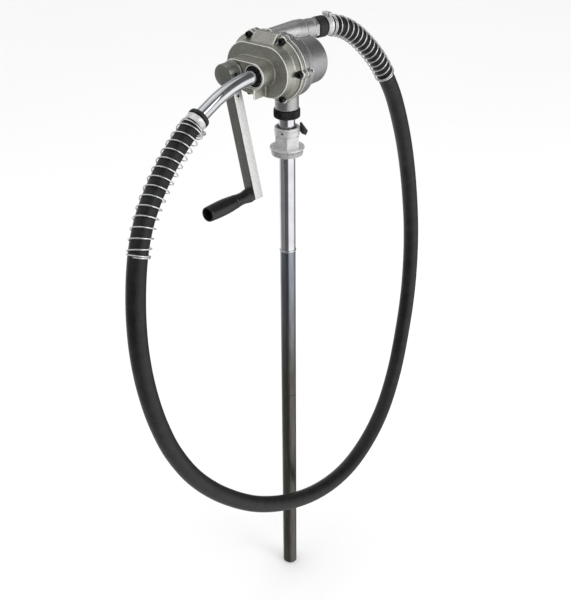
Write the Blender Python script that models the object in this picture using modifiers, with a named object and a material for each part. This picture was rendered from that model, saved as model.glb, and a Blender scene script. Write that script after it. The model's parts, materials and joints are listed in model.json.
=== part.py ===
"""Hand crank drum barrel pump.

A geared hand pump stands on a suction tube that a bung adapter holds in the drum.
A crank on the front turns a gear pair, which drives two meshed pump gears in the
round drum at the back.  The delivery hose leaves the top, hangs in one large loop
and ends in a bent spout, parked in the holder on the front cover.

Frame: metres, +Z up along the suction tube, front cover towards -Y.
The origin is on the tube's axis, at the underside of the adapter's flange,
where it seats on the drum bung.
"""

import math

import bmesh
import bpy
from mathutils import Matrix, Vector

MM = 0.001
GAP = 0.3 * MM          # clearance kept between touching pieces
ROUND = 28              # sides of a large round piece
SMALL = 14              # sides of a small round piece

# Bung adapter and suction tube
TUBE_R = 13.5 * MM
TUBE_WALL = 2.0 * MM
TUBE_TOP = 61.0 * MM
TUBE_JOINTS = (-188.0 * MM, -490.0 * MM)
TUBE_BOTTOM = -910.0 * MM
FLANGE_R = 29.0 * MM
THREAD_R = 27.0 * MM
HEX_CORNER_R = 22.2 * MM
COLLAR_R = 20.9 * MM
COLLAR_TOP = 37.4 * MM
HEX_TURN = math.radians(-50)
LEVER_TURN = math.radians(48)
LEVER_Z = 31.0 * MM
SET_SCREW_TURN = math.radians(-73)

# Union under the pump
UNION_R = 22.0 * MM
UNION_BOTTOM = 54.0 * MM
UNION_TOP = 68.0 * MM
BOSS_R = 19.6 * MM

# Pump head
AXIS_Z = 138.0 * MM
CRANK_X = -45.0 * MM
SPOUT_X = -4.0 * MM
FLANGE_FRONT = -23.0 * MM
COVER_BACK = -15.6 * MM
BODY_FRONT = -14.0 * MM
BODY_BACK = 8.0 * MM
HEAD_R = 51.0 * MM
BOLT_R = 48.0 * MM
LOBE_R = 7.0 * MM
SCREW_HEAD_R = 5.0 * MM
SCREW_HOLE_R = 3.3 * MM
DRUM_X = 4.0 * MM
DRUM_R = 39.0 * MM
DRUM_BACK = 54.0 * MM
PLATE_BACK = -7.0 * MM
CHAMBER_BACK = 40.0 * MM
FACE_Y = -47.0 * MM     # flat front of the gear cover
SHOULDER_Y = -28.5 * MM # front of the sloping shoulder that carries the screws
SHOULDER_R = 50.2 * MM
WALL_R = 43.5 * MM      # cover wall where it leaves the shoulder
FACE_R = 41.0 * MM
HOLDER_Y = -76.0 * MM   # front of the spout and crank boss

# Gears
GEAR_MODULE = 1.75 * MM
GEAR_TEETH = 26
PINION_TEETH = 14
PUMP_MODULE = 2.0 * MM
PUMP_TEETH = 14
DRIVER_X = CRANK_X + GEAR_MODULE * (GEAR_TEETH + PINION_TEETH) / 2
IDLER_X = DRIVER_X + PUMP_MODULE * PUMP_TEETH
PUMP_BORE_R = PUMP_MODULE * (PUMP_TEETH / 2 + 0.8) + GAP

# Crank and grip
CRANK_LENGTH = 195.5 * MM
CRANK_TILT = math.radians(13.6)
ARM_WIDTH = 20.0 * MM
ARM_FRONT = -96.0 * MM
ARM_BACK = -76.8 * MM
HUB_R = 17.8 * MM
HUB_FRONT = -101.5 * MM
SHAFT_R = 7.0 * MM
GRIP_FRONT = -196.0 * MM
GRIP_RECESS = 20.0 * MM
GRIP_RECESS_R = 9.5 * MM
HUB_SCREW_TURN = math.radians(8)
SPINDLE_R = 4.0 * MM

# Outlet passage: level, turned a little towards +X
OUTLET_START = Vector((-33.0 * MM, -30.0 * MM, 182.5 * MM))
OUTLET_TURN = math.radians(15.4)
OUTLET_DIR = Vector((math.sin(OUTLET_TURN), math.cos(OUTLET_TURN), 0.0))

# Spout and hose
SPOUT_R = 11.0 * MM
SPOUT_TIP_Y = -56.0 * MM
SPOUT_BEND_Y = -80.0 * MM
SPOUT_BEND_R = 220.0 * MM
SPOUT_DROP = math.radians(24.5)
SPOUT_TAIL = 28.0 * MM
HOSE_R = 15.0 * MM
HOSE_STEP = 12.0 * MM
HOSE_ROUTE_MM = (
    (-3.6, 77.1, 182.5), (4.0, 104.5, 182.5), (9.0, 131.0, 175.5), (12.0, 164.0, 157.0),
    (15.0, 200.0, 127.0), (17.0, 234.0, 91.0), (18.0, 262.0, 51.0), (16.5, 288.0, 10.0),
    (12.0, 323.0, -58.0), (6.0, 354.0, -129.0), (2.0, 378.0, -208.0), (-2.0, 397.0, -291.0),
    (-4.0, 405.0, -372.0), (-4.0, 402.0, -452.0), (-1.0, 385.0, -530.0), (7.0, 350.0, -612.0),
    (20.0, 293.0, -675.0), (33.0, 220.0, -713.0), (45.0, 133.0, -729.0), (53.0, 38.0, -719.0),
    (55.0, -58.0, -687.0), (50.0, -150.0, -637.0), (42.0, -228.0, -571.0), (36.0, -289.0, -498.0),
    (34.0, -333.0, -420.0), (36.0, -363.0, -343.0), (38.0, -382.0, -269.0), (39.0, -391.0, -203.0),
    (38.0, -391.0, -145.0), (35.0, -384.0, -94.0), (29.0, -370.0, -49.0), (22.0, -351.0, -14.0),
    (15.0, -328.0, 13.0), (9.0, -303.0, 36.0), (4.0, -276.0, 58.0), (0.0, -249.0, 76.8),
    (-3.0, -221.0, 94.0), (-4.0, -196.7, 106.6),
)

SCREW_PLACES = (
    (0.0, 0.0), (0.0, 76.0), (0.0, -76.0), (CRANK_X, 104.0), (CRANK_X, 180.0), (CRANK_X, -104.0),
)

# Finishes: colour, roughness, metallic
CAST = ("cast_aluminium", (0.20, 0.20, 0.185), 0.5, 0.85)
ARM_METAL = ("arm_aluminium", (0.42, 0.43, 0.41), 0.4, 0.9)
ZINC = ("bright_zinc", (0.74, 0.74, 0.72), 0.3, 1.0)
CHROME = ("chrome", (0.80, 0.81, 0.83), 0.08, 1.0)
STEEL = ("steel", (0.45, 0.45, 0.46), 0.35, 1.0)
BRONZE = ("bronze", (0.50, 0.33, 0.14), 0.35, 1.0)
BLACK_STEEL = ("black_steel", (0.02, 0.02, 0.022), 0.4, 0.6)
BLACK_PLASTIC = ("black_plastic", (0.015, 0.015, 0.016), 0.35, 0.0)
RUBBER = ("rubber", (0.02, 0.02, 0.022), 0.6, 0.0)
PAPER = ("gasket", (0.25, 0.22, 0.16), 0.8, 0.0)


# ---------------------------------------------------------------- tools

def clear_scene():
    for item in list(bpy.data.objects):
        bpy.data.objects.remove(item, do_unlink=True)


def collection(name):
    made = bpy.data.collections.new(name)
    bpy.context.scene.collection.children.link(made)
    return made


def material(finish):
    name, colour, roughness, metallic = finish
    found = bpy.data.materials.get(name)
    if found:
        return found
    made = bpy.data.materials.new(name)
    made.use_nodes = True
    shader = made.node_tree.nodes["Principled BSDF"]
    shader.inputs["Base Color"].default_value = (*colour, 1.0)
    shader.inputs["Roughness"].default_value = roughness
    shader.inputs["Metallic"].default_value = metallic
    return made


def add_object(name, data, matrix):
    made = bpy.data.objects.new(name, data)
    PARTS.objects.link(made)
    made.matrix_world = matrix
    return made


def baked(item):
    """Replace the object by the mesh that its curve or modifiers make, welded and facing out."""
    bpy.context.view_layer.update()
    evaluated = item.evaluated_get(bpy.context.evaluated_depsgraph_get())
    mesh = bpy.data.meshes.new_from_object(evaluated)
    name, matrix = item.name, item.matrix_world.copy()
    bpy.data.objects.remove(item, do_unlink=True)
    cage = bmesh.new()
    cage.from_mesh(mesh)
    bmesh.ops.remove_doubles(cage, verts=cage.verts, dist=2e-6)
    bmesh.ops.dissolve_degenerate(cage, edges=cage.edges, dist=1e-6)
    bmesh.ops.recalc_face_normals(cage, faces=cage.faces)
    cage.to_mesh(mesh)
    cage.free()
    made = add_object(name, mesh, matrix)
    mesh.name = name
    return made


def along(start, direction, turn=0.0):
    """Matrix that puts local Z along a direction, with its origin at start."""
    axis = Vector(direction).normalized()
    side = Vector((0.0, 0.0, 1.0)) if abs(axis.z) < 0.9 else Vector((0.0, 1.0, 0.0))
    x_axis = side.cross(axis).normalized()
    y_axis = axis.cross(x_axis)
    basis = Matrix((x_axis, y_axis, axis)).transposed().to_4x4()
    return Matrix.Translation(Vector(start)) @ basis @ Matrix.Rotation(turn, 4, "Z")


def facing_front(x, y, z):
    """Matrix that puts local X along X, local Y along Z and local Z along -Y."""
    return Matrix.Translation((x, y, z)) @ Matrix.Rotation(math.pi / 2, 4, "X")


def turned(name, profile, matrix, sides=ROUND, ring=False):
    """Turn a profile of (radius, height) points, listed down its outer side, about local Z."""
    mesh = bpy.data.meshes.new(name)
    edges = [(i, i + 1) for i in range(len(profile) - 1)]
    if ring:
        edges.append((len(profile) - 1, 0))
    mesh.from_pydata([(r, 0.0, h) for r, h in profile], edges, [])
    item = add_object(name, mesh, matrix)
    screw = item.modifiers.new("turn", "SCREW")
    screw.steps = sides
    screw.render_steps = sides
    screw.use_merge_vertices = True
    screw.merge_threshold = 0.00001
    return baked(item)


def rod(name, radius, start, end, sides=SMALL):
    start, end = Vector(start), Vector(end)
    length = (end - start).length
    profile = [(0.0, length), (radius, length), (radius, 0.0), (0.0, 0.0)]
    return turned(name, profile, along(start, end - start), sides)


def sleeve(name, inner, outer, start, end, sides=SMALL):
    start, end = Vector(start), Vector(end)
    length = (end - start).length
    profile = [(outer, length), (outer, 0.0), (inner, 0.0), (inner, length)]
    return turned(name, profile, along(start, end - start), sides, ring=True)


def flat(name, outlines, thickness, matrix):
    """Solid of a flat outline, centred on local Z; later outlines are holes."""
    curve = bpy.data.curves.new(name, "CURVE")
    curve.dimensions = "2D"
    curve.fill_mode = "BOTH"
    curve.extrude = thickness / 2
    for outline in outlines:
        spline = curve.splines.new("POLY")
        spline.points.add(len(outline) - 1)
        for point, (x, y) in zip(spline.points, outline):
            point.co = (x, y, 0.0, 1.0)
        spline.use_cyclic_u = True
    return baked(add_object(name, curve, matrix))


def box(name, size, matrix):
    x, y = size[0] / 2, size[1] / 2
    return flat(name, [[(-x, -y), (x, -y), (x, y), (-x, y)]], size[2], matrix)


def smooth_path(route, step):
    """Points about step apart on a smooth curve through the route, both ends kept."""
    points = [Vector(p) for p in route]
    knots = [2 * points[0] - points[1]] + points + [2 * points[-1] - points[-2]]
    fine = []
    for a, b, c, d in zip(knots, knots[1:], knots[2:], knots[3:]):
        for k in range(12):
            t = k / 12
            fine.append(0.5 * (2 * b + (c - a) * t + (2 * a - 5 * b + 4 * c - d) * t ** 2
                               + (3 * b - a - 3 * c + d) * t ** 3))
    fine.append(points[-1])
    lengths = [0.0]
    for a, b in zip(fine, fine[1:]):
        lengths.append(lengths[-1] + (b - a).length)
    count = max(1, round(lengths[-1] / step))
    out, seat = [], 0
    for k in range(count + 1):
        goal = lengths[-1] * k / count
        while seat < len(fine) - 2 and lengths[seat + 1] < goal:
            seat += 1
        share = (goal - lengths[seat]) / (lengths[seat + 1] - lengths[seat])
        out.append(fine[seat].lerp(fine[seat + 1], min(1.0, share)))
    return out


def tube(name, points, radius, resolution):
    curve = bpy.data.curves.new(name, "CURVE")
    curve.dimensions = "3D"
    curve.bevel_depth = radius
    curve.bevel_resolution = resolution
    curve.use_fill_caps = True
    spline = curve.splines.new("POLY")
    spline.points.add(len(points) - 1)
    for point, place in zip(spline.points, points):
        point.co = (*place, 1.0)
    return baked(add_object(name, curve, Matrix.Identity(4)))


def combine(target, others, how):
    for other in others:
        step = target.modifiers.new(how.lower(), "BOOLEAN")
        step.operation = how
        step.solver = "EXACT"
        step.object = other
        target = baked(target)
        bpy.data.objects.remove(other, do_unlink=True)
    return target


def cut(target, *others):
    return combine(target, others, "DIFFERENCE")


def join(target, *others):
    return combine(target, others, "UNION")


def keep_inside(target, other):
    return combine(target, [other], "INTERSECT")


def rounded(item, width, angle=40.0):
    """Bevel the sharp edges of a solid."""
    bevel = item.modifiers.new("edges", "BEVEL")
    bevel.width = width
    bevel.segments = 1
    bevel.limit_method = "ANGLE"
    bevel.angle_limit = math.radians(angle)
    return baked(item)


def moved_origin(item, place):
    """Put the object's origin at a place without moving its shape."""
    shift = Matrix.Translation(item.matrix_world.inverted() @ Vector(place))
    item.data.transform(shift.inverted())
    item.matrix_world = item.matrix_world @ shift
    return item


def finished(item, finish, origin=None):
    if origin is not None:
        moved_origin(item, origin)
    item.data.materials.clear()
    item.data.materials.append(material(finish))
    item.data.shade_smooth()
    item.data.set_sharp_from_angle(angle=math.radians(35))
    return item


# ---------------------------------------------------------------- outlines

def arc(centre, radius, start, end, count):
    """Points on an arc, angles in degrees."""
    out = []
    for k in range(count + 1):
        a = math.radians(start + (end - start) * k / count)
        out.append((centre[0] + radius * math.cos(a), centre[1] + radius * math.sin(a)))
    return out


def circle(centre, radius, sides):
    return arc(centre, radius, 0.0, 360.0, sides)[:-1]


def stadium(left, right, radius, count=14):
    return (arc((right, 0.0), radius, -90.0, 90.0, count)
            + arc((left, 0.0), radius, 90.0, 270.0, count))


def polygon(corner_radius, sides, turn):
    return [(corner_radius * math.cos(turn + 2 * math.pi * k / sides),
             corner_radius * math.sin(turn + 2 * math.pi * k / sides)) for k in range(sides)]


def screw_points():
    """Centres of the six cover screws in the cover's plane, from the two axes."""
    for x, angle in SCREW_PLACES:
        a = math.radians(angle)
        yield x + BOLT_R * math.cos(a), BOLT_R * math.sin(a)


def flange_outline(count=30):
    """Stadium whose edge swells into a lobe round each cover screw."""
    out = []
    for axis_x, turn in ((0.0, -90.0), (CRANK_X, 90.0)):
        for k in range(count + 1):
            a = math.radians(turn + 180.0 * k / count)
            reach = HEAD_R
            for x, z in screw_points():
                near = (x - axis_x) * math.cos(a) + z * math.sin(a)
                off = -(x - axis_x) * math.sin(a) + z * math.cos(a)
                if near > 0 and abs(off) < LOBE_R and abs(x - axis_x) <= BOLT_R + GAP:
                    reach = max(reach, near + math.sqrt(LOBE_R ** 2 - off ** 2))
            out.append((axis_x + reach * math.cos(a), reach * math.sin(a)))
    return out


def gear_outline(teeth, module, turn):
    """Involute stub teeth, 20 degree pressure angle, thinned for backlash."""
    pressure = math.radians(20)
    pitch = module * teeth / 2
    base = pitch * math.cos(pressure)
    tip, root = pitch + 0.8 * module, pitch - 1.0 * module
    thin = 0.16 * MM / pitch
    half = math.pi / (2 * teeth) - thin + math.tan(pressure) - pressure
    out = []
    for k in range(teeth):
        middle = turn + 2 * math.pi * k / teeth
        flank = [(root, half)]
        for share in (0.5, 1.0):
            r = base + (tip - base) * share
            angle = math.acos(base / r)
            flank.append((r, half - (math.tan(angle) - angle)))
        side = [(r, -a) for r, a in flank] + [(r, a) for r, a in reversed(flank)]
        out += [(r * math.cos(middle + a), r * math.sin(middle + a)) for r, a in side]
    return out


def at_depth(front, back, x=0.0):
    """Frame of a flat piece of the pump head, between two depths, centred on the axes' height."""
    return facing_front(x, (front + back) / 2, AXIS_Z)


def head_plate(name, outlines, front, back, x=0.0):
    return flat(name, outlines, back - front, at_depth(front, back, x))


def head_bore(name, radius, x, front, back, z=AXIS_Z, sides=SMALL):
    return rod(name, radius, (x, back, z), (x, front, z), sides)


def tapered_plate(name, wide, narrow, front, back):
    """Stadium block that narrows towards the front."""
    item = head_plate(name, [stadium(CRANK_X, 0.0, wide)], front, back)
    middle = (back - front) / 2
    for vertex in item.data.vertices:
        if vertex.co.z > middle * 0.5:
            near = min(max(vertex.co.x, CRANK_X), 0.0)
            vertex.co.x = near + (vertex.co.x - near) * narrow / wide
            vertex.co.y *= narrow / wide
    return item


# ---------------------------------------------------------------- adapter and tube

def radial(turn, distance, z):
    return Vector((distance * math.cos(turn), distance * math.sin(turn), z))


def build_adapter():
    profile = [
        (COLLAR_R - 1.2 * MM, COLLAR_TOP), (COLLAR_R, COLLAR_TOP - 1.2 * MM), (COLLAR_R, 23.0 * MM),
        (19.0 * MM, 22.0 * MM), (19.0 * MM, 3.0 * MM), (FLANGE_R - 0.6 * MM, 3.0 * MM),
        (FLANGE_R, 2.4 * MM), (FLANGE_R, 0.0), (24.5 * MM, 0.0), (24.5 * MM, -2.6 * MM),
        (THREAD_R, -3.6 * MM), (THREAD_R, -7.0 * MM), (21.0 * MM, -12.0 * MM),
        (TUBE_R + 0.5 * MM, -12.0 * MM), (TUBE_R + 0.5 * MM, 20.0 * MM), (16.8 * MM, 20.0 * MM),
        (16.8 * MM, COLLAR_TOP),
    ]
    body = turned("bung_adapter", profile, Matrix.Identity(4), 30, ring=True)
    nut = flat("nut", [polygon(HEX_CORNER_R, 6, HEX_TURN), circle((0, 0), 18.0 * MM, 24)],
               19.6 * MM, Matrix.Translation((0, 0, 12.7 * MM)))
    chamfer = turned("chamfer", [
        (17.0 * MM, 23.5 * MM), (20.6 * MM, 23.5 * MM), (22.6 * MM, 21.6 * MM), (22.6 * MM, 1.0 * MM),
        (17.0 * MM, 1.0 * MM),
    ], Matrix.Identity(4), 30, ring=True)
    body = join(body, keep_inside(nut, chamfer))
    lever_hole = rod("hole", 2.9 * MM, radial(LEVER_TURN, 10 * MM, LEVER_Z),
                     radial(LEVER_TURN, 26 * MM, LEVER_Z))
    screw_hole = rod("hole", 1.9 * MM, radial(SET_SCREW_TURN, 10 * MM, 30 * MM),
                     radial(SET_SCREW_TURN, 26 * MM, 30 * MM))
    finished(cut(body, lever_hole, screw_hole), ZINC)
    packing = sleeve("tube_packing", TUBE_R + GAP, 16.5 * MM, (0, 0, 20.3 * MM), (0, 0, 26.5 * MM), ROUND)
    finished(packing, RUBBER)
    finished(rod("adapter_set_screw", 1.6 * MM, radial(SET_SCREW_TURN, TUBE_R + GAP, 30 * MM),
                 radial(SET_SCREW_TURN, 19.4 * MM, 30 * MM), 10), BLACK_STEEL)


def build_lever():
    axis = radial(LEVER_TURN, 1.0, 0.0)
    finished(rod("clamp_screw", 2.6 * MM, radial(LEVER_TURN, TUBE_R + GAP, LEVER_Z),
                 radial(LEVER_TURN, 25.0 * MM, LEVER_Z), 12), STEEL)
    outline = [(21.4, 10.5), (24.2, 11.5), (34.5, -3.5), (31.0, -10.5), (24.0, -7.0), (21.4, -4.0)]
    side = axis.cross(Vector((0, 0, 1)))
    frame = Matrix((axis, Vector((0, 0, 1)), side)).transposed().to_4x4()
    frame = Matrix.Translation((0, 0, LEVER_Z)) @ frame
    lever = flat("clamp_lever", [[(x * MM, y * MM) for x, y in outline]], 7.0 * MM, frame)
    lever = rounded(lever, 0.8 * MM)
    bore = rod("bore", 2.9 * MM, radial(LEVER_TURN, 20 * MM, LEVER_Z),
               radial(LEVER_TURN, 25.3 * MM, LEVER_Z))
    finished(cut(lever, bore), BLACK_PLASTIC, radial(LEVER_TURN, 21.4 * MM, LEVER_Z))


def build_tube():
    inner = TUBE_R - TUBE_WALL
    upper, lower = TUBE_JOINTS
    for name, low, high, finish in (
        ("suction_tube_upper", upper + GAP, TUBE_TOP, CHROME),
        ("suction_tube_middle", lower + GAP, upper, STEEL),
    ):
        finished(sleeve(name, inner, TUBE_R, (0, 0, low), (0, 0, high), ROUND), finish)
    foot = sleeve("suction_tube_lower", inner, TUBE_R, (0, 0, TUBE_BOTTOM), (0, 0, lower), ROUND)
    slant = box("slant", (80 * MM, 80 * MM, 20 * MM),
                Matrix.Translation((0, 0, TUBE_BOTTOM - 7.0 * MM)) @ Matrix.Rotation(math.radians(7), 4, "Y"))
    finished(cut(foot, slant), STEEL)
    for name, joint in (("tube_nipple_upper", upper), ("tube_nipple_lower", lower)):
        finished(sleeve(name, 9.0 * MM, inner - GAP, (0, 0, joint - 26 * MM), (0, 0, joint + 26 * MM)), STEEL)
    finished(sleeve("tube_joint_ring", TUBE_R + GAP, TUBE_R + 1.1 * MM,
                    (0, 0, upper - 1.6 * MM), (0, 0, upper + 1.6 * MM), ROUND), CHROME)
    collar = sleeve("tube_collar", TUBE_R + GAP, 16.8 * MM, (0, 0, 58.3 * MM), (0, 0, TUBE_TOP), ROUND)
    finished(collar, STEEL)


def build_union():
    count = 32
    outline = []
    for k in range(2 * count):
        angle = math.pi * k / count
        radius = UNION_R - (0.7 * MM if k % 2 else 0.0)
        outline.append((radius * math.cos(angle), radius * math.sin(angle)))
    ring = flat("union_ring", [outline, circle((0, 0), 17.5 * MM, 30)], UNION_TOP - UNION_BOTTOM,
                Matrix.Translation((0, 0, (UNION_TOP + UNION_BOTTOM) / 2)))
    floor = sleeve("floor", TUBE_R + 0.5 * MM, 19.0 * MM, (0, 0, UNION_BOTTOM), (0, 0, 58 * MM), 30)
    finished(join(ring, floor), BLACK_STEEL)
    gasket = sleeve("union_gasket", TUBE_R - 1.2 * MM, 16.8 * MM, (0, 0, TUBE_TOP + GAP),
                    (0, 0, 63.3 * MM), ROUND)
    finished(gasket, RUBBER)


# ---------------------------------------------------------------- pump head

def outlet_point(distance):
    return OUTLET_START + OUTLET_DIR * distance


def build_body():
    body = head_plate("pump_body", [flange_outline()], BODY_FRONT, -4 * MM)
    rear = head_plate("rear", [stadium(CRANK_X, 0.0, HEAD_R - 0.8 * MM, 18)], -8 * MM, BODY_BACK)
    drum = turned("drum", [
        (0.0, DRUM_BACK), (DRUM_R - 2.5 * MM, DRUM_BACK), (DRUM_R, DRUM_BACK - 2.5 * MM),
        (DRUM_R, 13.5 * MM), (DRUM_R + 6.5 * MM, BODY_BACK + 0.6 * MM), (DRUM_R + 6.5 * MM, 0.0),
        (0.0, 0.0),
    ], along((DRUM_X, 0, AXIS_Z), (0, 1, 0)), 36)
    boss = rod("boss", BOSS_R, (0, 0, 68.4 * MM), (0, 0, 105 * MM), ROUND)
    under_cover = box("under_cover", (50 * MM, 30 * MM, 40 * MM),
                      Matrix.Translation((0, -28.7 * MM, 104.0 * MM)))
    boss = cut(boss, under_cover)
    spigot = rod("spigot", 17.0 * MM, (0, 0, 63.6 * MM), (0, 0, 72 * MM), 30)
    passage = turned("passage", [
        (0.0, 85 * MM), (18.0 * MM, 85 * MM), (18.0 * MM, 70 * MM), (11.5 * MM, 12 * MM), (0.0, 12 * MM),
    ], along(OUTLET_START, OUTLET_DIR))
    ahead = box("ahead", (90 * MM, 60 * MM, 60 * MM), Matrix.Translation((-30 * MM, -42 * MM, 182.5 * MM)))
    passage = cut(passage, ahead)
    port = rod("port", 16.6 * MM, outlet_point(60 * MM), outlet_point(103 * MM), ROUND)
    body = join(body, rear, drum, boss, spigot, passage, port)
    cutters = [
        head_plate("recess", [stadium(CRANK_X, 0.0, 42 * MM)], BODY_FRONT - 2 * MM, PLATE_BACK),
        head_bore("driver_chamber", PUMP_BORE_R, DRIVER_X, PLATE_BACK - 2 * MM, CHAMBER_BACK, sides=26),
        head_bore("idler_chamber", PUMP_BORE_R, IDLER_X, PLATE_BACK - 2 * MM, CHAMBER_BACK, sides=26),
        head_bore("driver_end", 5.3 * MM, DRIVER_X, CHAMBER_BACK - 1 * MM, 50.3 * MM),
        head_bore("idler_end", 5.3 * MM, IDLER_X, CHAMBER_BACK - 1 * MM, 50.3 * MM),
        rod("inlet", 9.0 * MM, (0, 2 * MM, 60 * MM), (0, 2 * MM, 132 * MM)),
        rod("riser", 8.0 * MM, (DRUM_X, 20 * MM, 145 * MM), outlet_point(52 * MM) - Vector((5 * MM, 0, 0)),
            16),
        rod("outlet", 11.0 * MM, outlet_point(40 * MM), outlet_point(106 * MM)),
    ]
    cutters += [head_bore("screw_hole", SCREW_HOLE_R, x, BODY_FRONT - 2 * MM, 5 * MM, AXIS_Z + z, 12)
                for x, z in screw_points()]
    finished(cut(body, *cutters), CAST)


def cover_pad():
    """Block with a sloping top between the two upper screws."""
    low, high = -42.0 * MM, 3.0 * MM
    outline = [(-42.0, 37.0), (-25.5, 55.6), (-16.2, 55.6), (-16.2, 37.0)]
    frame = Matrix.Translation(((low + high) / 2, 0, AXIS_Z)) @ Matrix(
        ((0, 0, 1, 0), (1, 0, 0, 0), (0, 1, 0, 0), (0, 0, 0, 1)))
    pad = flat("pad", [[(y * MM, z * MM) for y, z in outline]], high - low, frame)
    for vertex in pad.data.vertices:
        place = pad.matrix_world @ vertex.co
        if place.x > 0.0 and place.z > AXIS_Z + 50 * MM:
            vertex.co.z -= 14 * MM
    return pad


def build_cover():
    cover = head_plate("gear_cover", [flange_outline()], FLANGE_FRONT, COVER_BACK)
    wall = tapered_plate("wall", WALL_R, FACE_R, FACE_Y, -22.0 * MM)
    shoulder = tapered_plate("shoulder", SHOULDER_R, WALL_R, SHOULDER_Y, -21.0 * MM)
    holder = head_plate("holder", [stadium(CRANK_X, SPOUT_X, 20.5 * MM)], HOLDER_Y, FACE_Y + 4 * MM)
    web = box("web", (3.0 * MM, 29 * MM, 26 * MM), Matrix.Translation((-4.6 * MM, -60.8 * MM, 112.5 * MM)))
    notches = [head_bore("notch", 6.4 * MM, x, -60 * MM, -12 * MM, AXIS_Z + z) for x, z in screw_points()]
    upper = join(wall, shoulder, cover_pad())
    upper = cut(upper, *notches)
    cover = join(cover, upper, holder, web)
    cutters = [
        head_plate("cavity", [stadium(CRANK_X, 0.0, 34 * MM)], -43.5 * MM, COVER_BACK + 3 * MM),
        head_bore("spout_pocket", 17 * MM, SPOUT_X, HOLDER_Y - 3 * MM, -53 * MM, sides=30),
        head_bore("bush_hole", 10 * MM, CRANK_X, HOLDER_Y - 3 * MM, -40 * MM, sides=24),
        head_bore("seal_seat", 12.4 * MM, CRANK_X, HOLDER_Y - 3 * MM, -69 * MM, sides=24),
    ]
    cutters += [head_bore("screw_hole", SCREW_HOLE_R, x, -30 * MM, COVER_BACK + 3 * MM, AXIS_Z + z, 12)
                for x, z in screw_points()]
    finished(cut(cover, *cutters), CAST)


def build_cover_fittings():
    front, back = COVER_BACK + GAP, BODY_FRONT - GAP
    holes = [circle(place, 3.6 * MM, 12) for place in screw_points()]
    inner = stadium(CRANK_X, 0.0, 42.3 * MM)
    finished(head_plate("cover_gasket", [flange_outline(), inner, *holes], front, back), PAPER)
    for number, (x, z) in enumerate(screw_points(), 1):
        top, seat, end = FLANGE_FRONT - 6.3 * MM, FLANGE_FRONT - GAP, 3.0 * MM
        name = f"cover_screw_{number}"
        length = end - top
        head = end - seat
        screw = turned(name, [
            (0.0, length), (SCREW_HEAD_R - 0.6 * MM, length), (SCREW_HEAD_R, length - 0.6 * MM),
            (SCREW_HEAD_R, head),
            (3.0 * MM, head), (3.0 * MM, 0.0), (0.0, 0.0),
        ], along((x, end, AXIS_Z + z), (0, -1, 0)), 12)
        socket = flat("socket", [polygon(2.9 * MM, 6, 0.0)], 6.0 * MM, facing_front(x, top, AXIS_Z + z))
        finished(cut(screw, socket), BLACK_STEEL)
    finished(sleeve("crank_bush", SHAFT_R + 0.15 * MM, 9.7 * MM, (CRANK_X, -43.8 * MM, AXIS_Z),
                    (CRANK_X, -68.6 * MM, AXIS_Z), 24), BRONZE)
    finished(sleeve("crank_shaft_seal", SHAFT_R + 0.2 * MM, 12.1 * MM, (CRANK_X, -69.4 * MM, AXIS_Z),
                    (CRANK_X, -75.6 * MM, AXIS_Z), 24), RUBBER)
    finished(sleeve("spout_grommet", SPOUT_R + GAP, 16.7 * MM, (SPOUT_X, -58 * MM, AXIS_Z),
                    (SPOUT_X, -73 * MM, AXIS_Z), 30), RUBBER)


def build_bearing_plate():
    front, back = -13.6 * MM, PLATE_BACK - GAP
    plate = head_plate("bearing_plate", [
        stadium(CRANK_X, 0.0, 41.7 * MM), circle((CRANK_X, 0.0), SHAFT_R + 0.15 * MM, 24),
        circle((DRIVER_X, 0.0), 5.15 * MM, 20), circle((IDLER_X, 0.0), 5.3 * MM, 20),
    ], front, back)
    finished(plate, STEEL)
    finished(sleeve("pump_shaft_seal", 5.15 * MM, 8.5 * MM, (DRIVER_X, -14.0 * MM, AXIS_Z),
                    (DRIVER_X, -18.0 * MM, AXIS_Z)), RUBBER)


def build_gear_train():
    drive = head_plate("crank_gear", [
        gear_outline(GEAR_TEETH, GEAR_MODULE, 0.0), circle((0, 0), SHAFT_R + GAP, 24),
    ], -38 * MM, -24 * MM, CRANK_X)
    key_slot = box("slot", (4.6 * MM, 3.6 * MM, 20 * MM),
                   facing_front(CRANK_X, -31 * MM, AXIS_Z + 8.2 * MM))
    finished(cut(drive, key_slot), STEEL, (CRANK_X, -31 * MM, AXIS_Z))
    pinion_turn = math.pi + math.pi / PINION_TEETH
    finished(head_plate("pinion", [
        gear_outline(PINION_TEETH, GEAR_MODULE, pinion_turn), circle((0, 0), 5.3 * MM, 20),
    ], -38.4 * MM, -23.6 * MM, DRIVER_X), STEEL)
    for name, x, front in (("pump_shaft", DRIVER_X, -41 * MM), ("idler_shaft", IDLER_X, -13.2 * MM)):
        finished(rod(name, 5.0 * MM, (x, 49.5 * MM, AXIS_Z), (x, front, AXIS_Z)), STEEL)
    idler_turn = math.pi + math.pi / PUMP_TEETH
    for name, x, turn in (("pump_gear_driver", DRIVER_X, 0.0), ("pump_gear_idler", IDLER_X, idler_turn)):
        finished(head_plate(name, [
            gear_outline(PUMP_TEETH, PUMP_MODULE, turn), circle((0, 0), 5.3 * MM, 20),
        ], PLATE_BACK + GAP, CHAMBER_BACK - GAP, x), STEEL)


# ---------------------------------------------------------------- crank

def crank_point(distance, y):
    return Vector((CRANK_X + distance * math.sin(CRANK_TILT), y, AXIS_Z - distance * math.cos(CRANK_TILT)))


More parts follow.
